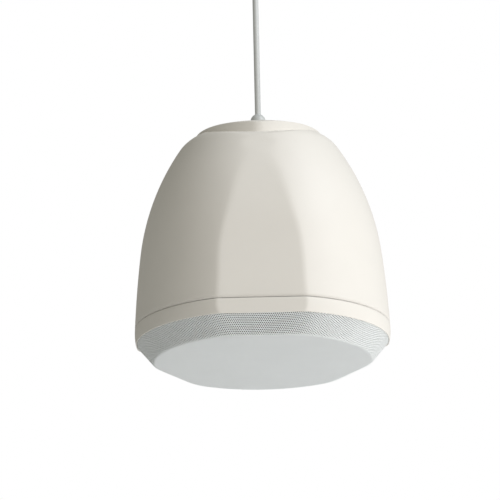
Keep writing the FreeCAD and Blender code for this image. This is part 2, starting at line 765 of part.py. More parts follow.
def dish_solid(inset):
    """The space inside the grille's outer skin, or inset from it, with its facets."""
    rim_r = BEZEL_BORE - GRILLE_GAP
    rim_facet = BEZEL_FACET - BEZEL_WALL - GRILLE_GAP
    turned_dish = spun(dish_path(rim_r, GRILLE_FACE_R, inset))
    profile = dish_path(rim_facet, GRILLE_FACE_R - GRILLE_FACE_FACET, inset)
    left = Vector(-FACET_REACH, 0, GRILLE_FACE_Z + inset)
    corners = [
        Vector(0, 0, left.z),
        left,
        Vector(-FACET_REACH, 0, profile[-1].BoundBox.ZMax),
        Vector(0, 0, profile[-1].BoundBox.ZMax),
    ]
    lines = [Part.LineSegment(a, b).toShape() for a, b in zip(corners, corners[1:])]
    return faceted(turned_dish, profile + lines)


def front_grille():
    """The drawn sheet: collar, faceted skirt and flat face in one thickness."""
    return dish_solid(0.0).cut(dish_solid(GRILLE_T))


def grille_scrim():
    """The thin black cloth disc that lies on the grille's flat face."""
    low = GRILLE_FACE_Z + GRILLE_T + FIT_GAP
    edge = GRILLE_FACE_R - SCRIM_INSET
    return round_plate(edge, edge - GRILLE_FACE_FACET, low, low + SCRIM_T)


def bezel_screws():
    """The screws through bezel flange, baffle and gasket into the enclosure's bosses."""
    one = screw(BEZEL_SCREW_R, 3.8, 2.2, BEZEL_SCREW_L)
    return ring_of(moved(one, Vector(BOSS_PCR, 0, FLANGE_BOTTOM)), BOSS_COUNT, BOSS_FIRST)


# Woofer

def sheet_edges(points, thickness):
    """The closed outline of a thin sheet: a path and the same path lowered by its thickness."""
    above = rounded_path(points)
    below = [e.copy() for e in above]
    for edge in below:
        edge.translate(Vector(0, 0, -thickness))
    first = Vector(points[0][0], 0, points[0][1])
    last = Vector(points[-1][0], 0, points[-1][1])
    down = Vector(0, 0, -thickness)
    ends = [Part.LineSegment(first, first + down).toShape(), Part.LineSegment(last, last + down).toShape()]
    return above + below + ends


def driver_basket():
    """The pressed frame: flange, windowed cone, spider ledge and the shelf of the motor."""
    wall = BASKET_WALL
    ledge_r = SPIDER_LEDGE_R
    step_r = ledge_r - SPIDER_LEDGE_W
    skirt_z = DRIVER_FRONT + BASKET_SKIRT_H
    body = spun_path([
        (DRIVER_R, DRIVER_FRONT, 0), (DRIVER_R, DRIVER_SEAT, 0), (BASKET_R, DRIVER_SEAT, 1.0),
        (BASKET_R, skirt_z, 3.0), (ledge_r + wall, SPIDER_LEDGE_Z + wall, 1.5),
        (step_r + wall, SPIDER_LEDGE_Z + wall, 0), (step_r + wall, MOTOR_SHELF_Z - MOTOR_SHELF_T, 0),
        (MOTOR_R, MOTOR_SHELF_Z - MOTOR_SHELF_T, 0), (MOTOR_R, MOTOR_SHELF_Z, 0),
        (WINDING_OUT + 2.4, MOTOR_SHELF_Z, 0), (WINDING_OUT + 2.4, MOTOR_SHELF_Z - MOTOR_SHELF_T, 0),
        (step_r, MOTOR_SHELF_Z - MOTOR_SHELF_T, 0), (step_r, SPIDER_LEDGE_Z, 0),
        (ledge_r - 0.5, SPIDER_LEDGE_Z, 1.0), (BASKET_R - wall, skirt_z - wall / 2, 2.0),
        (BASKET_R - wall, DRIVER_FRONT + wall, 0), (BASKET_INNER_R, DRIVER_FRONT + wall, 0),
        (BASKET_INNER_R, DRIVER_FRONT, 0), (DRIVER_R, DRIVER_FRONT, 0),
    ])
    near, far = ledge_r + 3, BASKET_R + 5
    low, high = DRIVER_FRONT + BASKET_WINDOW_LOW, SPIDER_LEDGE_Z - 3
    corners = [(near, low), (far, low), (far, high), (near, high), (near, low)]
    slot = Part.Face(Part.makePolygon([flat_point(corner) for corner in corners]))
    window = slot.revolve(Vector(0, 0, 0), AXIS, BASKET_WINDOW_ANGLE)
    first = BOARD_ANGLE + 180.0 / BASKET_WINDOWS - BASKET_WINDOW_ANGLE / 2
    for gap in ring_of(window, BASKET_WINDOWS, first):
        body = body.cut(gap)
    hole = cylinder(DRIVER_SCREW_R + FIT_GAP, DRIVER_FRONT - 1, DRIVER_SEAT + 1, DRIVER_SCREW_PCR)
    for place in ring_of(hole, DRIVER_SCREW_COUNT, 0.0):
        body = body.cut(place)
    return body.removeSplitter()


def driver_gasket():
    """The foam ring under the driver's flange."""
    ring = tube(DRIVER_R - 0.5, DRIVER_CUTOUT_R + 0.5, DRIVER_SEAT, BAFFLE_FRONT)
    hole = cylinder(DRIVER_SCREW_R + FIT_GAP, DRIVER_SEAT - 1, 0, DRIVER_SCREW_PCR)
    for place in ring_of(hole, DRIVER_SCREW_COUNT, 0.0):
        ring = ring.cut(place)
    return ring


def driver_screws():
    """The screws that hold the driver's flange to the baffle."""
    one = screw(DRIVER_SCREW_R, 3.6, 2.2, DRIVER_FLANGE_T + DRIVER_GASKET_T + BAFFLE_T)
    return ring_of(moved(one, Vector(DRIVER_SCREW_PCR, 0, DRIVER_FRONT)), DRIVER_SCREW_COUNT, 0.0)


def woofer_surround():
    """The rubber half-roll between cone and basket."""
    z = DRIVER_FRONT - FIT_GAP
    roll = SURROUND_ROLL_R
    middle = CONE_R + roll
    outer = BASKET_R - SURROUND_EDGE_GAP
    low = z - SURROUND_T
    big = roll + SURROUND_T
    reach = math.sqrt(big ** 2 - SURROUND_T ** 2)
    inner = CONE_R - CONE_GLUE_W
    edges = [
        Part.LineSegment(Vector(outer, 0, z), Vector(middle + roll, 0, z)).toShape(),
        Part.Arc(Vector(middle + roll, 0, z), Vector(middle, 0, z - roll), Vector(CONE_R, 0, z)).toShape(),
        Part.LineSegment(Vector(CONE_R, 0, z), Vector(inner, 0, z)).toShape(),
        Part.LineSegment(Vector(inner, 0, z), Vector(inner, 0, low)).toShape(),
        Part.LineSegment(Vector(inner, 0, low), Vector(middle - reach, 0, low)).toShape(),
        Part.Arc(
            Vector(middle - reach, 0, low), Vector(middle, 0, z - big), Vector(middle + reach, 0, low),
        ).toShape(),
        Part.LineSegment(Vector(middle + reach, 0, low), Vector(outer, 0, low)).toShape(),
        Part.LineSegment(Vector(outer, 0, low), Vector(outer, 0, z)).toShape(),
    ]
    return spun(edges)


def woofer_cone():
    """The paper cone: glue ring, slightly curved body and neck."""
    front = DRIVER_FRONT
    neck_r = COIL_OUT + FIT_GAP
    inner = CONE_R - CONE_GLUE_W
    back = front + CONE_T
    low_neck = CONE_NECK_Z - CONE_T
    low_mid = Vector((inner + neck_r) / 2 - CONE_BOW, 0, (front + low_neck) / 2 - CONE_BOW)
    edges = [
        Part.LineSegment(Vector(CONE_R, 0, front), Vector(inner, 0, front)).toShape(),
        Part.Arc(Vector(inner, 0, front), low_mid, Vector(neck_r, 0, low_neck)).toShape(),
        Part.LineSegment(Vector(neck_r, 0, low_neck), Vector(neck_r, 0, CONE_NECK_Z)).toShape(),
        Part.Arc(
            Vector(neck_r, 0, CONE_NECK_Z), low_mid + Vector(0.3, 0, CONE_T), Vector(inner + 0.6, 0, back),
        ).toShape(),
        Part.LineSegment(Vector(inner + 0.6, 0, back), Vector(CONE_R, 0, back)).toShape(),
        Part.LineSegment(Vector(CONE_R, 0, back), Vector(CONE_R, 0, front)).toShape(),
    ]
    return spun(edges)


def voice_coil():
    """The former with its winding, centred on the top plate's gap."""
    winding_z = MOTOR_SHELF_Z + TOP_PLATE_T / 2 - COIL_WINDING_H / 2
    top = winding_z + COIL_WINDING_H
    former = tube(COIL_OUT, COIL_R, CONE_NECK_Z - 4, top)
    return former.fuse(tube(WINDING_OUT, COIL_OUT, winding_z, top)).removeSplitter()


def woofer_spider():
    """The corrugated cloth disc that centres the coil."""
    z = SPIDER_LEDGE_Z - FIT_GAP
    inner = COIL_OUT + FIT_GAP
    start = inner + 2.2
    end = SPIDER_LEDGE_R - SPIDER_LEDGE_W + 0.8
    points = [(inner, z, 0), (start, z, 0.4)]
    step = (end - start) / (2 * SPIDER_WAVES)
    for k in range(2 * SPIDER_WAVES):
        height = -SPIDER_WAVE_H if k % 2 else -2 * SPIDER_WAVE_H
        points.append((start + (k + 0.5) * step, z + height, 0.8))
    points += [(end, z, 0.4), (SPIDER_LEDGE_R - 1.0, z, 0)]
    return spun(sheet_edges(points, SPIDER_T))


def magnet_top_plate():
    """The steel ring at the front of the magnet."""
    return tube(MOTOR_R - 1, WINDING_OUT + COIL_GAP, MOTOR_SHELF_Z, TOP_PLATE_Z)


def magnet_ring():
    """The ferrite ring, with its edges broken."""
    low, high, outer, inner = TOP_PLATE_Z, MAGNET_Z, MAGNET_R, MAGNET_BORE_R
    return spun_path([
        (inner, low, 0), (outer, low, 1.0), (outer, high, 1.0), (inner, high, 0), (inner, low, 0),
    ])


def magnet_back_plate():
    """Back plate and pole piece, forged in one."""
    top = MAGNET_Z + BACK_PLATE_T
    return spun_path([
        (0, MOTOR_SHELF_Z - 1, 0), (POLE_R, MOTOR_SHELF_Z - 1, 0.6), (POLE_R, MAGNET_Z, 0),
        (MOTOR_R - 1, MAGNET_Z, 0), (MOTOR_R - 1, top, 2.0), (0, top, 0), (0, MOTOR_SHELF_Z - 1, 0),
    ])


def driver_terminals():
    """The tag strip on one of the basket's arms."""
    low = DRIVER_FRONT + TAG_RISE
    base = block(TAG_T, TAG_W, low, low + TAG_H)
    rise = TAG_RISE - BASKET_SKIRT_H
    low_r = BASKET_R - rise * (BASKET_R - SPIDER_LEDGE_R) / (SPIDER_DEPTH - BASKET_SKIRT_H)
    return turned(moved(base, Vector(low_r + TAG_STAND, 0, 0)), BOARD_ANGLE)


# Tweeter

def tweeter_post():
    """The stud from the woofer's pole piece to the tweeter."""
    return cylinder(POST_R, TWEETER_BACK_Z, MOTOR_SHELF_Z - 1)


def tweeter_yoke():
    """The steel cup around the tweeter's magnet."""
    low = TWEETER_BACK_Z - TWEETER_H
    cup = cylinder(TWEETER_R, low, TWEETER_BACK_Z)
    return cup.cut(cylinder(TWEETER_DOME_R + COIL_GAP, low - 1, TWEETER_BACK_Z - TWEETER_BASE_T))


def tweeter_magnet():
    """The small disc magnet."""
    high = TWEETER_BACK_Z - TWEETER_BASE_T
    return cylinder(TWEETER_MAGNET_R, high - TWEETER_MAGNET_T, high)


def tweeter_pole_plate():
    """The pole plate in front of the disc magnet."""
    high = TWEETER_BACK_Z - TWEETER_BASE_T - TWEETER_MAGNET_T
    return cylinder(TWEETER_POLE_R, high - TWEETER_POLE_T, high)


def tweeter_dome():
    """Dome, former and winding, which move together."""
    base = TWEETER_BACK_Z - TWEETER_H - TWEETER_DOME_RISE
    outer, inner = TWEETER_DOME_R, TWEETER_DOME_R - TWEETER_DOME_T
    tip = base - TWEETER_DOME_H
    ball = (outer ** 2 + TWEETER_DOME_H ** 2) / (2 * TWEETER_DOME_H)
    half = outer * 0.55
    sag = ball - math.sqrt(ball ** 2 - half ** 2)
    wall = TWEETER_DOME_T
    top = base + TWEETER_COIL_H
    edges = [
        Part.LineSegment(Vector(outer, 0, top), Vector(outer, 0, base)).toShape(),
        Part.Arc(Vector(outer, 0, base), Vector(half, 0, tip + sag), Vector(0, 0, tip)).toShape(),
        Part.LineSegment(Vector(0, 0, tip), Vector(0, 0, tip + wall)).toShape(),
        Part.Arc(
            Vector(0, 0, tip + wall), Vector(half, 0, tip + sag + wall), Vector(inner, 0, base),
        ).toShape(),
        Part.LineSegment(Vector(inner, 0, base), Vector(inner, 0, top)).toShape(),
        Part.LineSegment(Vector(inner, 0, top), Vector(outer, 0, top)).toShape(),
    ]
    return spun(edges)


def tweeter_surround():
    """The film ring that carries the dome."""
    high = TWEETER_BACK_Z - TWEETER_H - FIT_GAP
    inner = TWEETER_DOME_R + FIT_GAP
    return tube(inner + TWEETER_SURROUND_W, inner, high - TWEETER_DOME_T, high)


def tweeter_faceplate():
    """The flared ring that clips over the yoke and holds the film."""
    low = TWEETER_BACK_Z - TWEETER_H
    bore = TWEETER_R + FIT_GAP
    back = low - FIT_GAP - TWEETER_DOME_T - FIT_GAP
    return spun_path([
        (bore, low + 3, 0), (TWEETER_FACE_R, low + 3, 0), (TWEETER_FACE_R, back - TWEETER_FACE_T, 1.0),
        (TWEETER_FACE_R - 2, back - TWEETER_FACE_T, 0), (TWEETER_DOME_R + 2.4, back, 0),
        (bore, back, 0), (bore, low + 3, 0),
    ])


# Ports, switch, board and transformer

def port_tubes():
    """The two bass ports, each with a flared lip on the baffle's front."""
    low = BAFFLE_FRONT - PORT_LIP_T
    inner = PORT_R - PORT_WALL
    one = spun_path([
        (PORT_LIP_R, BAFFLE_FRONT, 0), (PORT_LIP_R, low, 1.0), (inner, low, 2.2),
        (inner, low + PORT_L, 0), (PORT_R, low + PORT_L, 0), (PORT_R, BAFFLE_FRONT, 0),
        (PORT_LIP_R, BAFFLE_FRONT, 0),
    ])
    return [turned(moved(one, Vector(SIDE_PCR, 0, 0)), angle) for angle in PORT_ANGLES]


def tap_switch():
    """The rotary power selector behind the baffle, with its bush through it."""
    body = block(SWITCH_SIZE, SWITCH_SIZE, BAFFLE_BACK, BAFFLE_BACK + SWITCH_H, 3.0)
    body = body.fuse(cylinder(SWITCH_BUSH_R, BAFFLE_FRONT, BAFFLE_BACK))
    floor = BAFFLE_BACK + SWITCH_H - SWITCH_FLOOR_T
    body = body.cut(cylinder(SWITCH_SHAFT_R + FIT_GAP, BAFFLE_FRONT - 1, floor))
    return turned(moved(body.removeSplitter(), Vector(SIDE_PCR, 0, 0)), SWITCH_ANGLE)


def tap_knob():
    """The selector's fluted knob, on a shaft that runs into the switch."""
    high = BAFFLE_FRONT - FIT_GAP
    low = high - KNOB_H
    knob = spun_path([(0, low, 0), (KNOB_R - 1, low, 1.2), (KNOB_R, high, 0), (0, high, 0)])
    flute = cylinder(KNOB_FLUTE_R, low - 1, high - 2.5, KNOB_R + FIT_GAP)
    for flute in ring_of(flute, KNOB_FLUTES, 180.0 / KNOB_FLUTES):
        knob = knob.cut(flute)
    pointer = moved(block(KNOB_R * 0.8, 1.6, low - 0.8, low + 0.5), Vector(KNOB_R * 0.45, 0, 0))
    shaft = cylinder(SWITCH_SHAFT_R, high - 1, BAFFLE_BACK + SWITCH_H - SWITCH_FLOOR_T - 1)
    knob = knob.fuse(pointer).fuse(shaft).removeSplitter()
    return turned(moved(knob, Vector(SIDE_PCR, 0, 0)), SWITCH_ANGLE)


def crossover_board():
    """The glass-fibre board of the crossover."""
    board = moved(block(BOARD_D, BOARD_W, BOARD_Z, BOARD_TOP, 2.0), Vector(SIDE_PCR, 0, 0))
    for x, y in board_hole_places():
        board = board.cut(cylinder(BOARD_HOLE_R, BOARD_Z - 1, BOARD_TOP + 1, x, y))
    return turned(board, BOARD_ANGLE)


def board_screws():
    """The four screws of the board."""
    one = screw(1.3, 2.6, 1.8, BOARD_T + STANDOFF_H - 1.5)
    one.rotate(Vector(0, 0, 0), Vector(1, 0, 0), 180)
    places = board_hole_places()
    return [turned(moved(one, Vector(x, y, BOARD_TOP)), BOARD_ANGLE) for x, y in places]


def crossover_inductor():
    """The woofer's choke: a wound bobbin with two flanges."""
    low, high = BOARD_TOP, BOARD_TOP + INDUCTOR_H
    bore, rim, coil = INDUCTOR_BORE_R, INDUCTOR_R, INDUCTOR_R - INDUCTOR_FLANGE_W
    coil_low, coil_high = low + INDUCTOR_FLANGE_T, high - INDUCTOR_FLANGE_T
    bobbin = spun_path([
        (bore, low, 0), (rim, low, 0), (rim, coil_low, 0), (coil, coil_low, 0), (coil, coil_high, 0),
        (rim, coil_high, 0), (rim, high, 0), (bore, high, 0), (bore, low, 0),
    ])
    return turned(moved(bobbin, Vector(SIDE_PCR - 4, INDUCTOR_R - BOARD_W / 2 + 7, 0)), BOARD_ANGLE)


def crossover_capacitors():
    """Two film capacitors lying on the board."""
    result = []
    sizes = ((-9.0, CAPACITOR_R, CAPACITOR_L), (9.0, SMALL_CAPACITOR_R, SMALL_CAPACITOR_L))
    for x, radius, length in sizes:
        start = Vector(SIDE_PCR + x, 6.0, BOARD_TOP + radius + 0.2)
        can = Part.makeCylinder(radius, length, start, Vector(0, 1, 0))
        rims = [e for e in can.Edges if e.BoundBox.YLength < 0.01]
        result.append(turned(can.makeFillet(1.0, rims), BOARD_ANGLE))
    return result


def crossover_resistor():
    """The tweeter's cement resistor, standing beside the choke."""
    low = BOARD_TOP + FIT_GAP
    body = block(RESISTOR_W, RESISTOR_L, low, low + RESISTOR_H, 0.8)
    place = Vector(SIDE_PCR + INDUCTOR_R - 4 + RESISTOR_W / 2 + 2.25, INDUCTOR_R - BOARD_W / 2 + 8, 0)
    return turned(moved(body, place), BOARD_ANGLE)


def limb_width():
    """The width of the transformer's middle limb."""
    return TRAFO_W / 3


def transformer_core():
    """The stacked laminations, with a window on each side of the middle limb."""
    low = BAFFLE_BACK
    side = TRAFO_W / 6
    core = block(TRAFO_D, TRAFO_W, low, low + TRAFO_H, 0.0)
    for way in (-1, 1):
        window = block(TRAFO_D + 2, side, low + side, low + TRAFO_H - side)
        core = core.cut(moved(window, Vector(0, way * (limb_width() / 2 + side / 2), 0)))
    return turned(moved(core, Vector(SIDE_PCR, 0, 0)), TRAFO_ANGLE)


def transformer_winding():
    """The taped winding round the middle limb."""
    side = TRAFO_W / 6
    low, high = BAFFLE_BACK + side + FIT_GAP, BAFFLE_BACK + TRAFO_H - side - FIT_GAP
    width = limb_width() + 2 * side - 2 * FIT_GAP
    coil = block(TRAFO_COIL_D, width, low, high, 4.0)
    coil = coil.cut(block(TRAFO_D + 2 * FIT_GAP, limb_width() + 2 * FIT_GAP, low - 1, high + 1))
    return turned(moved(coil, Vector(SIDE_PCR, 0, 0)), TRAFO_ANGLE)


def transformer_strap():
    """The bent steel strap that holds the core to the baffle."""
    low, top = BAFFLE_BACK, BAFFLE_BACK + TRAFO_H
    half = TRAFO_W / 2
    depth = TRAFO_D - 6
    strap = block(depth, 2 * (half + STRAP_T + STRAP_FOOT), low, low + STRAP_T)
    strap = strap.fuse(block(depth, 2 * (half + STRAP_T), low, top + STRAP_T))
    strap = strap.cut(block(depth + 2, 2 * half, low - 1, top))
    for x, y in strap_hole_places():
        strap = strap.cut(cylinder(STRAP_HOLE_R, low - 1, low + STRAP_T + 1, 0, y))
    return turned(moved(strap.removeSplitter(), Vector(SIDE_PCR, 0, 0)), TRAFO_ANGLE)


def transformer_screws():
    """The two screws of the strap."""
    one = screw(1.5, 3.0, 2.0, STRAP_T + BAFFLE_T - 1.2)
    one.rotate(Vector(0, 0, 0), Vector(1, 0, 0), 180)
    places = [Vector(x, y, BAFFLE_BACK + STRAP_T) for x, y in strap_hole_places()]
    return [turned(moved(one, place), TRAFO_ANGLE) for place in places]


# Crown interior

def roof_grommet():
    """The rubber grommet that seals the lead's way through the well's floor."""
    low, high = WELL_FLOOR_Z - SHELL_WALL - FIT_GAP, WELL_FLOOR_Z + FIT_GAP
    hub = GROMMET_R - FIT_GAP
    lip = GROMMET_R + GROMMET_LIP
    bore, foot, head = GROMMET_BORE_R, low - GROMMET_LIP_T, high + GROMMET_LIP_T
    ring = spun_path([
        (bore, foot, 0), (lip, foot, 0.8), (lip, low, 0), (hub, low, 0), (hub, high, 0),
        (lip, high, 0), (lip, head, 0.8), (bore, head, 0), (bore, foot, 0),
    ])
    return turned(moved(ring, Vector(GROMMET_PCR, 0, 0)), GROMMET_ANGLE)


def terminal_block():
    """The two-way screw terminal on the well's floor."""
    top = WELL_FLOOR_Z + BLOCK_H
    body = block(BLOCK_W, BLOCK_L, WELL_FLOOR_Z, top, 1.0)
    for way in (-1, 1):
        body = body.cut(cylinder(BLOCK_HOLE_R, top - 3, top + 1, 0, way * BLOCK_L / 4))
    return moved(body, Vector(-PLATE_W, 0, 0))


def suspension_plate():
    """The steel bridge that takes the load of the cable."""
    plate = block(PLATE_W, PLATE_L, PLATE_Z, PLATE_Z + PLATE_T, 4.0)
    plate = plate.cut(cylinder(CABLE_R + FIT_GAP, PLATE_Z - 1, PLATE_Z + PLATE_T + 1))
    for side in (-1, 1):
        hole = cylinder(PLATE_SCREW_R + 0.4, PLATE_Z - 1, PLATE_Z + PLATE_T + 1, 0, side * PLATE_SCREW_X)
        plate = plate.cut(hole)
    return plate


def suspension_screws():
    """The two screws of the bridge."""
    one = screw(PLATE_SCREW_R, 2.8, 1.8, PLATE_T + 4.5)
    one.rotate(Vector(0, 0, 0), Vector(1, 0, 0), 180)
    places = [Vector(0, side * PLATE_SCREW_X, PLATE_Z + PLATE_T) for side in (-1, 1)]
    return [moved(one, place) for place in places]


def crimp_ferrule(z_high):
    """The crimped sleeve that stops a cable end; its upper face is at z_high."""
    low = z_high - FERRULE_H
    bore, outer = CABLE_R + FIT_GAP, CABLE_R + FERRULE_WALL
    return spun_path([
        (bore, low, 0), (outer, low, 0.8), (outer, z_high, 0.8), (bore, z_high, 0), (bore, low, 0),
    ])


def top_lid():
    """The round service lid, flush with the crown."""
    lid = cylinder(LID_R, LID_LOW, CROWN_TOP_Z)
    lid = lid.makeChamfer(LID_CHAMFER, [e for e in lid.Edges if e.BoundBox.ZMin > CROWN_TOP_Z - 0.1])
    lid = lid.cut(cylinder(GLAND_THREAD_R + FIT_GAP, LID_LOW - 1, CROWN_TOP_Z + 1))
    one = cylinder(LID_SCREW_R + 0.6, LID_LOW - 1, CROWN_TOP_Z + 1, LID_SCREW_PCR)
    for hole in ring_of(one, LID_SCREW_COUNT, LID_SCREW_FIRST):
        lid = lid.cut(hole)
    return lid


def lid_screws():
    """The three screws of the lid."""
    one = screw(LID_SCREW_R, 2.0, 1.2, LID_T + 5)
    one.rotate(Vector(0, 0, 0), Vector(1, 0, 0), 180)
    return ring_of(moved(one, Vector(LID_SCREW_PCR, 0, CROWN_TOP_Z)), LID_SCREW_COUNT, LID_SCREW_FIRST)


# Cable gland

def gland_body():
    """Threaded stem through the lid, hexagon above it and the cup of the seal."""
    low = LID_LOW - LOCKNUT_T - 0.6
    cup_top = GLAND_DOME_Z + GLAND_CUP_RISE
    body = cylinder(GLAND_THREAD_R, low, CROWN_TOP_Z).fuse(hexagon(GLAND_HEX, CROWN_TOP_Z, HEX_TOP))
    body = body.fuse(cylinder(NUT_BORE - FIT_GAP, HEX_TOP, cup_top))
    body = body.cut(cylinder(GLAND_BORE_R, low - 1, cup_top + 1))
    body = body.cut(cylinder(SEAL_R, CROWN_TOP_Z, cup_top + 1))
    return body.removeSplitter()


def gland_seal():
    """The rubber ring that grips the cable."""
    return tube(SEAL_R - FIT_GAP, CABLE_R + FIT_GAP, CROWN_TOP_Z + FIT_GAP, GLAND_DOME_Z + GLAND_CUP_RISE)


def gland_nut():
    """The domed cap nut."""
    low, centre, radius = HEX_TOP + FIT_GAP, GLAND_DOME_Z, GLAND_DOME_R
    mouth = GLAND_BORE_R
    top = centre + math.sqrt(radius ** 2 - (mouth + GLAND_LIP_W) ** 2)
    middle = Vector(radius * math.cos(math.radians(35)), 0, centre + radius * math.sin(math.radians(35)))
    cup_top = GLAND_DOME_Z + GLAND_CUP_RISE + FIT_GAP
    edges = [
        Part.LineSegment(Vector(NUT_BORE, 0, low), Vector(radius, 0, low)).toShape(),
        Part.LineSegment(Vector(radius, 0, low), Vector(radius, 0, centre)).toShape(),
        Part.Arc(Vector(radius, 0, centre), middle, Vector(mouth + GLAND_LIP_W, 0, top)).toShape(),
        Part.LineSegment(Vector(mouth + GLAND_LIP_W, 0, top), Vector(mouth, 0, top)).toShape(),
        Part.LineSegment(Vector(mouth, 0, top), Vector(mouth, 0, cup_top)).toShape(),
        Part.LineSegment(Vector(mouth, 0, cup_top), Vector(NUT_BORE, 0, cup_top)).toShape(),
        Part.LineSegment(Vector(NUT_BORE, 0, cup_top), Vector(NUT_BORE, 0, low)).toShape(),
    ]
    return spun(edges)


def gland_locknut():
    """The hexagon nut under the lid."""
    nut = hexagon(LOCKNUT_HEX, LID_LOW - LOCKNUT_T, LID_LOW)
    return nut.cut(cylinder(GLAND_THREAD_R + FIT_GAP, 0, TOP))


# Ceiling fitting

CUP_Z = SEAM_DROP - CANOPY_H
CUP_FLOOR = CUP_Z + CANOPY_WALL
CANOPY_BOTTOM_R = CANOPY_TOP_R - CANOPY_TAPER
CEILING_PLATE_R = CANOPY_TOP_R - CANOPY_WALL - CEILING_PLATE_GAP
CEILING_HOLE_Y = CEILING_PLATE_R - CEILING_HOLE_INSET
CUP_SCREW_Z = SEAM_DROP - CUP_SCREW_DROP
EAR_LOW = CUP_SCREW_Z - EAR_FOOT
GRIP_STEM_R = GRIP_R - GRIP_STEP


def cup_screw_hole(side):
    """The level hole for one of the cup's side screws, from the axis outwards."""
    return Part.makeCylinder(CUP_HOLE_R, CANOPY_TOP_R, Vector(0, 0, CUP_SCREW_Z), Vector(side, 0, 0))


def cup_radius(z):
    """The cup's outer radius at a height."""
    return CANOPY_BOTTOM_R + CANOPY_TAPER * (z - CUP_Z) / CANOPY_H


EAR_X = cup_radius(EAR_LOW) - CANOPY_WALL - EAR_T - EAR_GAP


def ceiling_plate():
    """The steel disc screwed to the ceiling, with two turned-down ears for the cup."""
    low = SEAM_DROP - CEILING_PLATE_T
    plate = cylinder(CEILING_PLATE_R, low, SEAM_DROP).cut(cylinder(CEILING_WIRE_R, low - 1, SEAM_DROP + 1))
    for side in (-1, 1):
        plate = plate.cut(cylinder(CEILING_HOLE_R, low - 1, SEAM_DROP + 1, 0, side * CEILING_HOLE_Y))
        ear = block(EAR_T, EAR_W, EAR_LOW, low)
        plate = plate.fuse(moved(ear, Vector(side * (EAR_X + EAR_T / 2), 0, 0)))
        plate = plate.cut(cup_screw_hole(side))
    return plate.removeSplitter()


def ceiling_cup():
    """The moulded cup that covers the plate."""
    wall = CANOPY_WALL
    lean = wall * math.sqrt(1 + (CANOPY_TAPER / CANOPY_H) ** 2)
    cup = spun_path([
        (0, CUP_Z, 0), (CANOPY_BOTTOM_R, CUP_Z, CANOPY_EDGE_R),
        (CANOPY_TOP_R, SEAM_DROP, 0), (0, SEAM_DROP, 0),
    ])
    room = spun_path([
        (0, CUP_FLOOR, 0), (cup_radius(CUP_FLOOR) - lean, CUP_FLOOR, CANOPY_EDGE_R - wall),
        (cup_radius(SEAM_DROP + 2) - lean, SEAM_DROP + 2, 0), (0, SEAM_DROP + 2, 0),
    ])
    cup = cup.cut(room).cut(cylinder(GRIP_STEM_R + FIT_GAP, CUP_Z - 1, CUP_FLOOR + 1))
    for side in (-1, 1):
        cup = cup.cut(cup_screw_hole(side))
    return cup


def cup_screws():
    """The two side screws that hold the cup to the plate's ears."""
    seat = cup_radius(CUP_SCREW_Z) + CUP_SCREW_SEAT
    one = screw(CUP_HOLE_R - FIT_GAP, 3.0, 1.8, seat - EAR_X + 1.5)
    one.rotate(Vector(0, 0, 0), Vector(0, 1, 0), -90)
    one.translate(Vector(seat, 0, CUP_SCREW_Z))
    return [one, turned(one, 180)]


def cord_grip():
    """The tapered cord grip under the cup, with its stem through the cup's floor."""
    bore, stem, low, high = GLAND_BORE_R, GRIP_STEM_R, CUP_Z - GRIP_H, CUP_FLOOR + GRIP_STEM_H
    return spun_path([
        (bore, low, 0), (stem, low, 1.5), (GRIP_R, CUP_Z - GRIP_SHOULDER_H, 0), (GRIP_R, CUP_Z, 0),
        (stem, CUP_Z, 0), (stem, high, 0), (bore, high, 0), (bore, low, 0),
    ])


def grip_nut():
    """The nut inside the cup that holds the cord grip."""
    nut = hexagon(2 * GRIP_R, CUP_FLOOR, CUP_FLOOR + GRIP_NUT_T)
    return nut.cut(cylinder(GRIP_STEM_R + FIT_GAP, CUP_Z, SEAM_DROP))


# Cable and leads

FERRULE_TOP = PLATE_Z - FIT_GAP
UPPER_FERRULE_TOP = CUP_FLOOR + GRIP_STEM_H + FIT_GAP + FERRULE_H
CABLE_LOW = FERRULE_TOP - FERRULE_H + CABLE_TAIL
CABLE_HIGH = UPPER_FERRULE_TOP - CABLE_TAIL


def lead(name, points, radius):
    """A round lead along straight runs joined by arcs, as large as the two runs at each point allow."""
    edges = []
    radii = []
    start = points[0]
    for before, here, after in zip(points, points[1:], points[2:]):
        back = (before - here).normalize()
        ahead = (after - here).normalize()
        reach = 0.45 * min((before - here).Length, (after - here).Length)
        half = back.getAngle(ahead) / 2
        bend = reach * math.tan(half)
        radii.append(round(bend, 1))
        middle = here + (back + ahead).normalize() * (bend / math.sin(half) - bend)
        edges.append(Part.LineSegment(start, here + back * reach).toShape())
        edges.append(Part.Arc(here + back * reach, middle, here + ahead * reach).toShape())
        start = here + ahead * reach
    edges.append(Part.LineSegment(start, points[-1]).toShape())
    path = Part.Wire(edges)
    ring = Part.Wire(Part.Circle(points[0], points[1] - points[0], radius).toShape())
    solid = path.makePipeShell([ring], True, False)
    section = math.pi * radius ** 2 * path.Length
    print(name, "length", round(path.Length, 1), "bend radii", radii, "volume ratio",
          round(solid.Volume / section, 4))
    return solid


def at_angle(x, y, z, angle):
    """A point given in a frame turned about the Z axis."""
    return turned(Part.Vertex(x, y, z), angle).Point


def driver_leads():
    """The pair of leads from the board to the driver's tags."""
    tag = driver_terminals().BoundBox.Center
    inner = math.hypot(tag.x, tag.y) + TAG_T / 2 + 0.6
    board_x = SIDE_PCR - BOARD_D / 2 + 4
    result = []
    for side in (-TAG_W * 2 / 7, TAG_W * 2 / 7):
        route = [(board_x, side, BOARD_TOP + FIT_GAP), (board_x, side, tag.z + 1.0),
                 (board_x - 7, side, tag.z + 5.0), (inner, side, tag.z + 2.0)]
        points = [at_angle(x, y, z, BOARD_ANGLE) for x, y, z in route]
        result.append(lead("driver lead", points, DRIVER_LEAD_R))
    return result


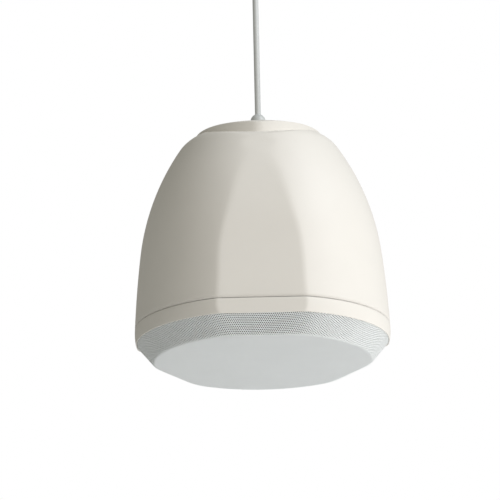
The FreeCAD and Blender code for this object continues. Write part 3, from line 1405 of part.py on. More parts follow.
def input_lead():
    """The twin lead from the screw terminal through the grommet down to the transformer."""
    bend = at_angle(GROMMET_PCR, 0, WELL_FLOOR_Z + BLOCK_H + 0.5, GROMMET_ANGLE)
    below = Vector(bend.x, bend.y, WELL_FLOOR_Z - INPUT_LEAD_DROP)
    end = at_angle(SIDE_PCR, 0, BAFFLE_BACK + TRAFO_H + STRAP_T + FIT_GAP, TRAFO_ANGLE)
    run = end - below
    points = [
        Vector(-PLATE_W + BLOCK_W / 2 + 0.7, -BLOCK_L / 4, WELL_FLOOR_Z + BLOCK_H / 2 + 0.5),
        bend,
        below,
        below + Vector(0.22 * run.x, 0.22 * run.y, 0.32 * run.z),
        below + Vector(0.80 * run.x, 0.80 * run.y, 0.61 * run.z),
        Vector(end.x, end.y, below.z + 0.78 * run.z),
        end,
    ]
    return lead("input lead", points, INPUT_LEAD_R)


def damping_lining():
    """The layer of wadding that lines the upper bell."""
    high = ROOF_Z - LINING_TOP_DEPTH
    slab = cylinder(SEAM_R, high - LINING_H, high)
    lining = bell_solid(SHELL_WALL + FIT_GAP, -1.0).common(slab)
    return lining.cut(bell_turning(LINING_T, -5.0))


def cable():
    """The suspension cable, held straight by the speaker's weight."""
    tube_solid = cylinder(CABLE_R, CABLE_LOW, CABLE_HIGH)
    length = CABLE_HIGH - CABLE_LOW
    print("cable length", round(length, 1), "straight, volume ratio",
          round(tube_solid.Volume / (math.pi * CABLE_R ** 2 * length), 4))
    return tube_solid


save("enclosure_shell", enclosure_shell())
save("front_bezel", front_bezel())
save("front_baffle", front_baffle())
save("baffle_gasket", baffle_gasket())
save("bezel_screws", *bezel_screws())
save("front_grille", front_grille())
save("grille_scrim", grille_scrim())
save("damping_lining", damping_lining())
save("driver_basket", driver_basket())
save("driver_gasket", driver_gasket())
save("driver_screws", *driver_screws())
save("driver_terminals", driver_terminals())
save("woofer_surround", woofer_surround())
save("woofer_cone", woofer_cone())
save("voice_coil", voice_coil())
save("woofer_spider", woofer_spider())
save("magnet_top_plate", magnet_top_plate())
save("magnet_ring", magnet_ring())
save("magnet_back_plate", magnet_back_plate())
save("tweeter_post", tweeter_post())
save("tweeter_yoke", tweeter_yoke())
save("tweeter_magnet", tweeter_magnet())
save("tweeter_pole_plate", tweeter_pole_plate())
save("tweeter_dome", tweeter_dome())
save("tweeter_surround", tweeter_surround())
save("tweeter_faceplate", tweeter_faceplate())
save("port_tubes", *port_tubes())
save("tap_switch", tap_switch())
save("tap_knob", tap_knob())
save("crossover_board", crossover_board())
save("board_screws", *board_screws())
save("crossover_inductor", crossover_inductor())
save("crossover_capacitors", *crossover_capacitors())
save("crossover_resistor", crossover_resistor())
save("transformer_core", transformer_core())
save("transformer_winding", transformer_winding())
save("transformer_strap", transformer_strap())
save("transformer_screws", *transformer_screws())
save("driver_leads", *driver_leads())
save("input_lead", input_lead())
save("roof_grommet", roof_grommet())
save("terminal_block", terminal_block())
save("suspension_plate", suspension_plate())
save("suspension_screws", *suspension_screws())
save("cable_ferrule", crimp_ferrule(FERRULE_TOP))
save("top_lid", top_lid())
save("lid_screws", *lid_screws())
save("gland_body", gland_body())
save("gland_seal", gland_seal())
save("gland_nut", gland_nut())
save("gland_locknut", gland_locknut())
save("cable", cable())
save("ceiling_ferrule", crimp_ferrule(UPPER_FERRULE_TOP))
save("cord_grip", cord_grip())
save("grip_nut", grip_nut())
save("ceiling_cup", ceiling_cup())
save("cup_screws", *cup_screws())
save("ceiling_plate", ceiling_plate())
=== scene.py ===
# %% [markdown]
# # A pendant speaker
# The object is a bell of moulded plastic with three shallow facets, a drawn steel grille below and
# a domed gland on top, hung by its own cable. The construction comes from the frame: this lesson
# dresses it. We load it first. Nothing we add may grow past it.

# %% Load the frame
import json
import math
import bmesh
import bpy
import numpy as np
from mathutils import Matrix, Vector


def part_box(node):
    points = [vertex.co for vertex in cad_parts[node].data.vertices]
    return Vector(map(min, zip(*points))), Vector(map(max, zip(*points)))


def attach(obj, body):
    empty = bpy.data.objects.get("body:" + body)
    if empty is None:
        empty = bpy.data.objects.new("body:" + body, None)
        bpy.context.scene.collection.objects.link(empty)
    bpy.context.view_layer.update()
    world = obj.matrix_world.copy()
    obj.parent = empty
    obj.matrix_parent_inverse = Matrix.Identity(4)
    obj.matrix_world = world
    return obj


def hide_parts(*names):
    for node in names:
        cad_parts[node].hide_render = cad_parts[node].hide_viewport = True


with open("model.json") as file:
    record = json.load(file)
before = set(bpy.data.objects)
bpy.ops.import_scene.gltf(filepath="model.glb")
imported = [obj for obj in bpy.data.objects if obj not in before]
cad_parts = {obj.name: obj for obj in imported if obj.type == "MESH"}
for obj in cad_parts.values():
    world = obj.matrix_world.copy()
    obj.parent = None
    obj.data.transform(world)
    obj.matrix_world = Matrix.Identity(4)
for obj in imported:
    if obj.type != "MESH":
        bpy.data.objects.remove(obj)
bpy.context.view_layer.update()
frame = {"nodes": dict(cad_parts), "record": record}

MM = 0.001
HOUSING = "frame"
SEAM_Z = -484.0
SAME_POINT = 0.002 * MM
NEARLY_ZERO = 1e-9
SIN_60 = math.sqrt(0.75)

# %% [markdown]
# ## Points and faces
# Every new piece is a grid of points worked out with numpy. One helper numbers the quads of a grid,
# and another puts points and faces into a mesh. The points are in millimetres above the seam
# between enclosure and trim ring, as on the maker's drawing, and are turned into metres below the
# ceiling here, once.

# %% Grid and mesh helpers
def grid_quads(rows, columns, wrap_rows=False, wrap_columns=False):
    """Corner numbers of the quads between neighbouring points of a rows x columns grid."""
    row = np.arange(rows if wrap_rows else rows - 1)[:, None]
    column = np.arange(columns if wrap_columns else columns - 1)[None, :]
    next_row, next_column = (row + 1) % rows, (column + 1) % columns
    corners = (row * columns + column, row * columns + next_column,
               next_row * columns + next_column, next_row * columns + column)
    return np.stack([c.ravel() for c in corners], axis=1)


def make_piece(name, points, quads, body, replaced=(), smooth=True):
    """A mesh piece in the row frame: millimetres above the seam become metres below the ceiling."""
    co = np.asarray(points, float).reshape(-1, 3) * MM
    co[:, 2] += SEAM_Z * MM
    data = bpy.data.meshes.new(name)
    data.vertices.add(len(co))
    data.vertices.foreach_set("co", co.ravel())
    data.loops.add(quads.size)
    data.loops.foreach_set("vertex_index", quads.astype(np.int32).ravel())
    data.polygons.add(len(quads))
    data.polygons.foreach_set("loop_start", np.arange(0, quads.size, quads.shape[1], dtype=np.int32))
    data.polygons.foreach_set("use_smooth", np.full(len(quads), smooth))
    data.update(calc_edges=True)
    piece = bpy.data.objects.new(name, data)
    bpy.context.scene.collection.objects.link(piece)
    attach(piece, body)
    if replaced:
        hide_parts(*replaced)
    print(name, len(co), "points,", len(quads), "faces")
    return piece


def close_seams(piece):
    """Merge the doubled points at seams and poles, and make every face look outwards."""
    shape = bmesh.new()
    shape.from_mesh(piece.data)
    bmesh.ops.remove_doubles(shape, verts=shape.verts, dist=SAME_POINT)
    bmesh.ops.dissolve_degenerate(shape, edges=shape.edges, dist=SAME_POINT / 2.0)
    bmesh.ops.recalc_face_normals(shape, faces=shape.faces)
    if shape.calc_volume(signed=True) < 0.0:
        bmesh.ops.reverse_faces(shape, faces=shape.faces)
    shape.to_mesh(piece.data)
    shape.free()

# %% [markdown]
# ## Three facets on a round body
# Seen from above, a level cut through the bell is a circle with three flats. In the direction t
# from a facet's middle, a flat at distance d lies at d / cos(t), so the body's radius is the
# smaller of that and the circle's own radius R. The two meet at t = arccos(d / R). We let columns of
# the grid run along that edge, so the arched edge of a facet is a clean line of points and not a
# staircase, and we round it a little, as a mould's edge is.

# %% Facet mathematics
FACET_MIDDLES = np.radians([-90.0, 30.0, 150.0])
SECTOR = math.radians(120.0)
EDGE_TURN = math.radians(1.5)
EDGE_NEAREST = math.radians(3.0)
EDGE_FURTHEST = math.radians(58.0)
FACET_COLUMNS = 30
FLANK_COLUMNS = 44
BELL_ROUNDING = 1.5
TRIM_ROUNDING = 0.8


def soft_smaller(a, b, rounding):
    """The smaller of a and b, with the corner between them rounded off by a quarter of the rounding.
    With h = 0.5 + (b - a) / (2 rounding), held between 0 and 1: b + (a - b) h - rounding h (1 - h)."""
    share = np.clip(0.5 + 0.5 * (b - a) / rounding, 0.0, 1.0)
    return b + (a - b) * share - rounding * share * (1.0 - share)


def facet_columns(radius, flat):
    """Angles of the grid's columns for each row: they follow the facet's edge, arccos(flat / radius)."""
    share = np.clip(flat / radius, math.cos(EDGE_FURTHEST), math.cos(EDGE_NEAREST))
    edge = np.arccos(np.atleast_1d(share))[:, None]
    over_edge = np.array([-1.0, -0.5, 0.0, 0.5, 1.0])[None, :] * EDGE_TURN
    facet = np.linspace(-1.0, 1.0, FACET_COLUMNS)[None, 1:-1] * (edge - EDGE_TURN)
    flank = np.linspace(0.0, 1.0, FLANK_COLUMNS)[None, 1:-1]
    flank = edge + EDGE_TURN + flank * (SECTOR - 2.0 * (edge + EDGE_TURN))
    sector = np.concatenate([-edge - over_edge[:, ::-1], facet, edge + over_edge, flank], axis=1)
    return np.concatenate([sector + middle for middle in FACET_MIDDLES], axis=1)


def from_facet_middle(angles):
    """The turn from the nearest facet's middle, from -60 to 60 degrees."""
    return (angles - FACET_MIDDLES[0] + SECTOR / 2.0) % SECTOR - SECTOR / 2.0


def faceted_rings(radius, flat, height, angles, rounding):
    """Points of the rings, a row for each height: a circle of that radius cut by three flats."""
    radius, flat, height = (np.asarray(v, float)[:, None] for v in (radius, flat, height))
    to_flat = flat / np.cos(from_facet_middle(angles))
    reach = soft_smaller(radius, to_flat, rounding)
    return np.stack([reach * np.cos(angles), reach * np.sin(angles), height + 0.0 * angles], axis=2)


def natural_cubic(at, values, places):
    """A smooth curve through (at, values) pairs, read at places: cubic pieces whose slope and bend
    run on from one to the next, with no bend at the two ends."""
    step = np.diff(at)
    slope = np.diff(values) / step
    count = len(at)
    system = np.eye(count)
    right = np.zeros(count)
    for k in range(1, count - 1):
        system[k, k - 1:k + 2] = step[k - 1], 2.0 * (step[k - 1] + step[k]), step[k]
        right[k] = 6.0 * (slope[k] - slope[k - 1])
    bend = np.linalg.solve(system, right)
    k = np.clip(np.searchsorted(at, places) - 1, 0, count - 2)
    h, since, until = step[k], places - at[k], at[k + 1] - places
    curved = (bend[k] * until ** 3 + bend[k + 1] * since ** 3) / (6.0 * h)
    from_here = (values[k] / h - bend[k] * h / 6.0) * until
    from_next = (values[k + 1] / h - bend[k + 1] * h / 6.0) * since
    return curved + from_here + from_next

# %% [markdown]
# ## The bell
# The bell's side is three arcs that run smoothly into each other: a nearly straight flank, a broad
# shoulder and a tight neck. Each is given by its radius and the lean at its end, in degrees. A facet
# starts 9.8 mm deep at the seam, fades out at the shoulder in a pointed arch, and dives in again
# under the crown. Each stop of that fade is an arc's number, the share of the way along the arc, and
# a share of the 9.8 mm.

# %% Bell profile
SEAM_R = 152.7
SEAM_LEAN = 3.4
BELL_ARCS = ((1275.0, 7.4), (290.7, 34.4), (44.3, 90.0))
FACET_DEPTH = 9.8
FACET_FADE = np.array([
    (0, 0.00, 1.00), (0, 0.27, 0.95), (0, 0.55, 0.92), (0, 0.85, 0.84), (1, 0.12, 0.62),
    (1, 0.27, 0.475), (1, 0.47, 0.305), (1, 0.70, 0.085), (1, 0.80, 0.05), (1, 0.92, 0.13),
    (2, 0.07, 0.47), (2, 0.19, 1.22), (2, 0.37, 2.50), (2, 0.53, 3.90),
])
SHALLOWEST_FACET = 0.3
SHELL_WALL = 3.2
ROWS_ON_ARCS = (22, 76, 30)
NECK_SHARE = 0.8


def bell_profile(arc, share):
    """(radius, height) at a share of one of the three arcs. Each starts where the last one ended,
    with the same lean: centre + radius (cos lean, sin lean)."""
    x, z, lean = SEAM_R, 0.0, math.radians(SEAM_LEAN)
    for number, (bend, end) in enumerate(BELL_ARCS):
        last = math.radians(end)
        centre_x, centre_z = x - bend * math.cos(lean), z - bend * math.sin(lean)
        if number == arc:
            here = lean + np.asarray(share, float) * (last - lean)
            return centre_x + bend * np.cos(here), centre_z + bend * np.sin(here)
        x, z = centre_x + bend * math.cos(last), centre_z + bend * math.sin(last)
        lean = last


stops = [bell_profile(int(arc), share) for arc, share, _ in FACET_FADE]
fade_heights = np.array([z for _, z in stops], float)
fade_flats = np.array([x for x, _ in stops], float) - FACET_DEPTH * FACET_FADE[:, 2]

rows = [bell_profile(arc, np.linspace(0.0, 1.0, ROWS_ON_ARCS[arc])[:-1]) for arc in (0, 1)]
rows.append(bell_profile(2, np.linspace(0.0, NECK_SHARE, ROWS_ON_ARCS[2])))
bell_radius = np.concatenate([r for r, _ in rows])
bell_height = np.concatenate([z for _, z in rows])
bell_flat = natural_cubic(fade_heights, fade_flats, bell_height)
bell_flat = np.where(bell_height > fade_heights[-1], fade_flats[-1], bell_flat)
bell_flat = np.minimum(bell_flat, bell_radius - SHALLOWEST_FACET)
print("bell: roof edge", round(float(bell_height[-1]), 1), "mm above the seam")

# %% [markdown]
# The moulding has an even wall, so the inner skin is the outer one moved in by 3.2 mm along its own
# normal. Both skins and the rim between them make one closed loop of rows.

# %% Bell skins
def inner_skin(points, wall):
    """The grid moved against its outward normal, which is the cross product of its two directions."""
    around = np.roll(points, -1, axis=1) - np.roll(points, 1, axis=1)
    along = np.gradient(points, axis=0)
    normal = np.cross(around, along)
    return points - wall * normal / np.linalg.norm(normal, axis=2, keepdims=True)


bell_angles = facet_columns(bell_radius, bell_flat)
bell_outside = faceted_rings(bell_radius, bell_flat, bell_height, bell_angles, BELL_ROUNDING)
bell_inside = inner_skin(bell_outside, SHELL_WALL)
bell_inside[0, :, 2] = 0.0
bell_points = np.concatenate([bell_outside, bell_inside[::-1]])
bell_quads = grid_quads(*bell_points.shape[:2], wrap_rows=True, wrap_columns=True)

# %% [markdown]
# ## The crown
# An upright wall stands on the shoulder. Its outline is rounded and three-sided: a corner arc over
# each facet and a wide flank arc between two facets. The top is flat with a round shoulder near the
# rim, and a well is sunk in it for the terminals, closed by the service lid. We draw one section, as
# rows of (distance from the axis, height), and carry it round the axis: the distances of the outer
# rows follow the outline, and those of the well are round.

# %% Crown outline
CROWN_FLANK_R = 100.5
CROWN_FLANK_BACK = 28.2
CROWN_CORNER_R = 25.0
CROWN_TOP_Z = 239.4
CROWN_SHOULDER_FROM = 56.0
CROWN_SHOULDER_R = 55.0
CROWN_EDGE_R = 1.0
CROWN_FOOT_Z = 205.0
CROWN_WALL_Z = (CROWN_FOOT_Z, 215.0, 224.0)
CROWN_UNDER_EDGE = (3.0, 0.3)
CROWN_EDGE_TURNS = np.radians(np.linspace(0.0, 78.0, 8))
CROWN_TOP_SHARES = np.linspace(0.06, 1.0, 16)
CROWN_INNER_BEND = 4.0
CROWN_INNER_DROP = 1.0
LID_SEAT_R = 43.0
WELL_R = 37.7
WELL_FLOOR_Z = 208.0
WELL_LEDGE_Z = 228.4
LID_T = 3.0
CROWN_COLUMNS = 360


def crown_distance(angles, inset=0.0):
    """How far the outline lies from the axis in each direction: on the corner's circle until the two
    circles touch, then on the flank's. A ray leaves a circle of radius q, with its centre c away, at
    u = c cos t + sqrt(q squared - (c sin t) squared)."""
    flank, corner = CROWN_FLANK_R - inset, CROWN_CORNER_R - inset
    side = SIN_60 * CROWN_FLANK_BACK
    corner_out = math.sqrt((flank - corner) ** 2 - side ** 2) - CROWN_FLANK_BACK / 2.0
    turn = from_facet_middle(angles)
    from_flank = SECTOR / 2.0 - np.abs(turn)
    reach = np.sqrt(flank ** 2 - (CROWN_FLANK_BACK * np.sin(from_flank)) ** 2)
    to_flank = reach - CROWN_FLANK_BACK * np.cos(from_flank)
    inside = np.maximum(corner ** 2 - (corner_out * np.sin(turn)) ** 2, 0.0)
    to_corner = corner_out * np.cos(turn) + np.sqrt(inside)
    along = corner / (flank - corner)
    join = math.atan2(side * along, corner_out + (corner_out + CROWN_FLANK_BACK / 2.0) * along)
    return np.where(np.abs(turn) < join, to_corner, to_flank)


def crown_top(distance):
    """Height of the crown's top: level, then an arc that falls away near the rim."""
    out = np.maximum(distance - CROWN_SHOULDER_FROM, 0.0)
    return CROWN_TOP_Z - CROWN_SHOULDER_R + np.sqrt(CROWN_SHOULDER_R ** 2 - out ** 2)


crown_angles = np.linspace(0.0, 2.0 * math.pi, CROWN_COLUMNS + 1)[:-1]
wall_out, wall_in = crown_distance(crown_angles), crown_distance(crown_angles, SHELL_WALL)
edge_centre = crown_top(wall_out - CROWN_EDGE_R) - CROWN_EDGE_R
crown_rows = [(wall_out, np.full_like(wall_out, z)) for z in CROWN_WALL_Z]
crown_rows += [(wall_out, edge_centre - below) for below in CROWN_UNDER_EDGE]
for turn in CROWN_EDGE_TURNS:
    in_from_wall = CROWN_EDGE_R * (1.0 - np.cos(turn))
    crown_rows.append((wall_out - in_from_wall, edge_centre + CROWN_EDGE_R * np.sin(turn)))
for share in CROWN_TOP_SHARES:
    reach = (wall_out - CROWN_EDGE_R) * (1.0 - share) + CROWN_SHOULDER_FROM * share
    crown_rows.append((reach, crown_top(reach)))
WELL_SECTION = (
    (LID_SEAT_R, CROWN_TOP_Z), (LID_SEAT_R, CROWN_TOP_Z - LID_T), (WELL_R, CROWN_TOP_Z - LID_T),
    (WELL_R, WELL_FLOOR_Z), (0.0, WELL_FLOOR_Z), (0.0, WELL_FLOOR_Z - SHELL_WALL),
    (WELL_R + SHELL_WALL, WELL_FLOOR_Z - SHELL_WALL), (WELL_R + SHELL_WALL, WELL_LEDGE_Z),
    (LID_SEAT_R + SHELL_WALL, WELL_LEDGE_Z), (LID_SEAT_R + SHELL_WALL, CROWN_TOP_Z - SHELL_WALL),
)
crown_rows += [(np.full_like(wall_out, radius), np.full_like(wall_out, z)) for radius, z in WELL_SECTION]
bend_start = wall_in - CROWN_INNER_BEND
crown_rows += [(bend_start, crown_top(bend_start) - SHELL_WALL),
               (wall_in, crown_top(wall_in) - SHELL_WALL - CROWN_INNER_DROP),
               (wall_in, np.full_like(wall_in, CROWN_FOOT_Z))]
crown_points = np.stack([np.stack([r * np.cos(crown_angles), r * np.sin(crown_angles), z], axis=1)
                         for r, z in crown_rows])
crown_quads = grid_quads(*crown_points.shape[:2], wrap_rows=True, wrap_columns=True)

enclosure = make_piece(
    "enclosure",
    np.concatenate([bell_points.reshape(-1, 3), crown_points.reshape(-1, 3)]),
    np.concatenate([bell_quads, crown_quads + bell_points.shape[0] * bell_points.shape[1]]),
    HOUSING, ["enclosure_shell"])
close_seams(enclosure)

# %% [markdown]
# ## The trim ring
# A shadow line under the bell shows where the trim ring starts. Its wall bulges by a parabola, rolls
# under in a small radius, has a small lead-in for the grille's collar at its mouth, and carries a
# flange inside for the screws. The section is again a closed loop, once with the radii of the round
# part and once with the distances of the flats. The flange's edge is round all the way.

# %% Trim ring
BEZEL_BOTTOM_Z = -19.4
BEZEL_EDGE_R = 0.7
BEZEL_LEAD_IN = 0.3
BEZEL_WALL = 1.9
BEZEL_FLANGE = (133.0, -8.8, -5.8)
SEAM_GAP = 0.8
BULGE_R = 153.0
BULGE_Z = -7.0
BULGE_DEPTH = 0.3
BULGE_LOW_DEPTH = 0.95 * BULGE_DEPTH
BULGE_REACH = 6.2
BULGE_ROWS = 12
ROLL_ROWS = 9

bulge_z = np.linspace(-SEAM_GAP, BEZEL_BOTTOM_Z + BEZEL_EDGE_R, BULGE_ROWS)
bulge_depth = np.where(bulge_z > BULGE_Z, BULGE_DEPTH, BULGE_LOW_DEPTH)
bulge_r = BULGE_R - bulge_depth * ((bulge_z - BULGE_Z) / BULGE_REACH) ** 2
roll = np.radians(np.linspace(0.0, 90.0, ROLL_ROWS))[1:]
roll_r = bulge_r[-1] - BEZEL_EDGE_R * (1.0 - np.cos(roll))
roll_z = BEZEL_BOTTOM_Z + BEZEL_EDGE_R * (1.0 - np.sin(roll))
bore = SEAM_R - BEZEL_WALL
flange_r, flange_low, flange_high = BEZEL_FLANGE
inside_r = np.array([bore + BEZEL_LEAD_IN, bore, bore, flange_r, flange_r, bore, bore])
inside_z = np.array([BEZEL_BOTTOM_Z, BEZEL_BOTTOM_Z + BEZEL_LEAD_IN, flange_low, flange_low,
                     flange_high, flange_high, -SEAM_GAP])
bezel_radius = np.concatenate([bulge_r, roll_r, inside_r])
bezel_height = np.concatenate([bulge_z, roll_z, inside_z])
outer_flat = SEAM_R - FACET_DEPTH
inner_flat = outer_flat - BEZEL_WALL
never_cut = 2.0 * flange_r
inside_flat = np.array([inner_flat + BEZEL_LEAD_IN, inner_flat, inner_flat, never_cut, never_cut,
                        inner_flat, inner_flat])
bezel_flat = np.concatenate([np.full(len(bulge_r), outer_flat),
                             outer_flat - BEZEL_EDGE_R * (1.0 - np.cos(roll)), inside_flat])
bezel_angles = facet_columns(np.full(len(bezel_radius), SEAM_R), np.full(len(bezel_radius), outer_flat))
bezel_points = faceted_rings(bezel_radius, bezel_flat, bezel_height, bezel_angles, TRIM_ROUNDING)
bezel = make_piece("bezel", bezel_points, grid_quads(*bezel_points.shape[:2], True, True),
                   HOUSING, ["front_bezel"])
close_seams(bezel)

# %% [markdown]
# ## The grille
# The grille is one perforated sheet drawn into a dish: a flat face, a sloping skirt and an upright
# collar that slips into the trim ring. The holes were punched in the flat sheet first, in staggered
# rows, so we lay out flat hexagonal cells with a hole in each, and then carry every point along the
# dish's own section by its distance from the middle. That keeps the rows straight on the face and
# lets them bend over the skirt, as drawing the sheet does.

# %% Grille section
GRILLE_T = 1.2
GRILLE_FACE_Z = -43.5
GRILLE_SHOULDER_Z = -19.6
GRILLE_COLLAR_TOP = -11.6
GRILLE_FACE_R = 130.7
GRILLE_FACE_FLAT = 122.8
GRILLE_RIM_R = 150.4
GRILLE_RIM_FLAT = 140.6
GRILLE_FACE_BEND_R = 6.0
GRILLE_FACE_BEND_ROWS = 9
GRILLE_COLLAR_BEND_R = 2.5
GRILLE_COLLAR_BEND_ROWS = 6
HOLE_PITCH = 2.6
HOLE_R = 1.0
GRILLE_ROUNDING = 6.0
HIDDEN_ROW = 1.5
STEPS_PER_MM = 100.0


def dish_section(face, rim):
    """(distance, height) along the section outside the flat face: bend, skirt, bend, collar.
    A bend of radius b that turns by g takes b tan(g / 2) off both lines that it joins."""
    slope = math.atan2(GRILLE_SHOULDER_Z - GRILLE_FACE_Z, rim - face)
    low_cut = GRILLE_FACE_BEND_R * math.tan(slope / 2.0)
    turn = np.linspace(0.0, slope, GRILLE_FACE_BEND_ROWS)
    low_x = face - low_cut + GRILLE_FACE_BEND_R * np.sin(turn)
    low_z = GRILLE_FACE_Z + GRILLE_FACE_BEND_R * (1.0 - np.cos(turn))
    rest = math.pi / 2.0 - slope
    high_cut = GRILLE_COLLAR_BEND_R * math.tan(rest / 2.0)
    turn = slope + np.linspace(0.0, rest, GRILLE_COLLAR_BEND_ROWS)
    high_x = rim - GRILLE_COLLAR_BEND_R * (1.0 - np.sin(turn))
    high_z = GRILLE_SHOULDER_Z + high_cut - GRILLE_COLLAR_BEND_R * np.cos(turn)
    return (np.concatenate([low_x, high_x, [rim]]), np.concatenate([low_z, high_z, [GRILLE_COLLAR_TOP]]))


round_x, round_z = dish_section(GRILLE_FACE_R, GRILLE_RIM_R)
flat_x, flat_z = dish_section(GRILLE_FACE_FLAT, GRILLE_RIM_FLAT)
section_z = np.unique(np.concatenate([round_z, flat_z]).round(4))
section_round = np.interp(section_z, round_z, round_x)
section_flat = np.interp(section_z, flat_z, flat_x)


def section_at(angles):
    """For each direction: distance of every section point from the axis, and the way along the sheet
    from the middle to it, the straight pieces added up."""
    to_flat = section_flat[None, :] / np.cos(from_facet_middle(angles))[:, None]
    reach = soft_smaller(section_round[None, :], to_flat, GRILLE_ROUNDING)
    steps = np.hypot(np.diff(reach, axis=1), np.diff(section_z)[None, :])
    way = np.concatenate([reach[:, :1], reach[:, :1] + np.cumsum(steps, axis=1)], axis=1)
    return reach, way


def carried_over_dish(flat_points, depth):
    """Points of the flat sheet carried along the dish: level until the face ends, then along the
    section to the same way from the middle. depth moves them into the sheet, square to the section."""
    angles = np.arctan2(flat_points[:, 1], flat_points[:, 0])
    sheet_way = np.hypot(flat_points[:, 0], flat_points[:, 1])
    reach, way = section_at(angles)
    last = way.shape[1] - 2
    piece = np.clip((way < sheet_way[:, None]).sum(axis=1) - 1, 0, last)
    line = np.arange(len(angles))
    share = (sheet_way - way[line, piece]) / (way[line, piece + 1] - way[line, piece])
    share = np.minimum(share, 1.0)
    on_face = sheet_way <= way[:, 0]
    run = reach[line, piece + 1] - reach[line, piece]
    rise = section_z[piece + 1] - section_z[piece]
    distance = np.where(on_face, sheet_way, reach[line, piece] + share * run)
    height = np.where(on_face, GRILLE_FACE_Z, section_z[piece] + share * rise)
    length = np.maximum(np.hypot(run, rise), NEARLY_ZERO)
    distance = distance + depth * np.where(on_face, 0.0, -rise / length)
    height = height + depth * np.where(on_face, 1.0, run / length)
    return np.stack([distance * np.cos(angles), distance * np.sin(angles), height], axis=1)

# %% [markdown]
# One cell is a hexagon with a six-sided hole: six quads in front, six for the hole's wall and six
# behind. The rows of holes end 1.5 mm up the collar, out of sight in the trim ring, and the cells
# beyond stay closed. There are about fourteen thousand holes, so the sheet is kept as three sectors,
# one per facet, which keeps each mesh at a size that a file can hold. In a sector the cells share
# their corners, and where a cell has no neighbour its side gets an edge face, so each sector is one
# closed mesh.

# %% Perforated sheet
def hexagon_corners(centres, radius):
    """Six corners round each centre: centre + radius (cos a, sin a), a = 30, 90, ... degrees."""
    turn = np.radians(30.0 + 60.0 * np.arange(6))
    ring = radius * np.stack([np.cos(turn), np.sin(turn)], axis=1)
    return centres[:, None, :] + ring[None, :, :]


sheet_edge = float(section_at(FACET_MIDDLES[:1] + SECTOR / 2.0)[1].max())
row_step = HOLE_PITCH * SIN_60
reach_rows = int(sheet_edge / row_step) + 2
reach_columns = int(sheet_edge / HOLE_PITCH) + 2
row_number, column_number = np.meshgrid(np.arange(-reach_rows, reach_rows + 1),
                                        np.arange(-reach_columns, reach_columns + 1), indexing="ij")
centre_x = (column_number + 0.5 * (row_number % 2)) * HOLE_PITCH
cells = np.stack([centre_x.ravel(), (row_number * row_step).ravel()], axis=1)
cell_angle = np.arctan2(cells[:, 1], cells[:, 0])
cell_way = np.hypot(cells[:, 0], cells[:, 1])
shoulder_way, sheet_end = section_at(cell_angle)[1][:, -2:].T
kept = cell_way < sheet_end
cells, cell_angle = cells[kept], cell_angle[kept]
is_open = cell_way[kept] < shoulder_way[kept] + HIDDEN_ROW
print("grille:", int(is_open.sum()), "holes of", 2 * HOLE_R, "mm in", len(cells), "cells")


def perforated(centres, has_hole):
    """Front, hole walls and back of a patch of cells, and the edge round it, as points and quads.
    Corners that cells share are found by their place in hundredths of a millimetre."""
    corners = hexagon_corners(centres, HOLE_PITCH / math.sqrt(3.0)).reshape(-1, 2)
    steps = (corners * STEPS_PER_MM).round().astype(np.int64)
    keys, corner_number = np.unique(steps, axis=0, return_inverse=True)
    shared = keys / STEPS_PER_MM
    corner_number = corner_number.reshape(-1, 6)
    holes = hexagon_corners(centres[has_hole], HOLE_R).reshape(-1, 2)
    middles = centres[~has_hole]
    flat = np.concatenate([shared, holes, middles])
    limit = section_at(np.arctan2(flat[:, 1], flat[:, 0]))[1][:, -1]
    way = np.maximum(np.hypot(flat[:, 0], flat[:, 1]), NEARLY_ZERO)
    flat = flat * np.minimum(1.0, limit / way)[:, None]
    front, back = carried_over_dish(flat, 0.0), carried_over_dish(flat, GRILLE_T)
    behind = len(flat)
    ring = corner_number[has_hole]
    hole = len(shared) + np.arange(len(holes)).reshape(-1, 6)
    ring_next, hole_next = np.roll(ring, -1, axis=1), np.roll(hole, -1, axis=1)
    quads = [np.stack([ring_next, ring, hole, hole_next], axis=2),
             np.stack([hole_next, hole, hole + behind, hole_next + behind], axis=2),
             np.stack([ring, ring_next, hole_next, hole], axis=2) + behind]
    solid = corner_number[~has_hole]
    middle = len(shared) + len(holes) + np.arange(len(middles))
    solid_quads = np.stack([np.stack([middle, solid[:, (k + 2) % 6], solid[:, k + 1], solid[:, k]], axis=1)
                            for k in (0, 2, 4)], axis=1)
    quads += [solid_quads, solid_quads[:, :, ::-1] + behind]
    directed = np.stack([corner_number, np.roll(corner_number, -1, axis=1)], axis=2).reshape(-1, 2)
    _, first, count = np.unique(np.sort(directed, axis=1), axis=0, return_index=True, return_counts=True)
    rim = directed[first[count == 1]]
    quads.append(np.stack([rim[:, 0], rim[:, 1], rim[:, 1] + behind, rim[:, 0] + behind], axis=1))
    return np.concatenate([front, back]), np.concatenate([q.reshape(-1, 4) for q in quads])


sector_number = ((cell_angle - FACET_MIDDLES[0] + SECTOR / 2.0) // SECTOR).astype(int) % 3
grille_sectors = []
for number in range(3):
    mine = sector_number == number
    sector_points, sector_quads = perforated(cells[mine], is_open[mine])
    sector = make_piece(f"grille_{number + 1}", sector_points, sector_quads, HOUSING,
                        ["front_grille"] if number == 0 else (), smooth=False)
    grille_sectors.append(sector)

# %% [markdown]
# ## The cloth behind the grille
# A thin black cloth lines the dish, face and skirt alike, so the holes look dark and the driver
# doesn't show. It is the dish's own form moved in by the sheet's thickness and a small gap, and both
# of its skins run to the axis, which makes one closed layer.

# %% Cloth lining
CLOTH_GAP = 0.3
CLOTH_T = 1.0
CLOTH_COLUMNS = 144
CLOTH_OVERLAP = 0.5
CLOTH_FACE_SHARES = np.array([0.1, 0.4, 0.7, 0.9, 0.97])

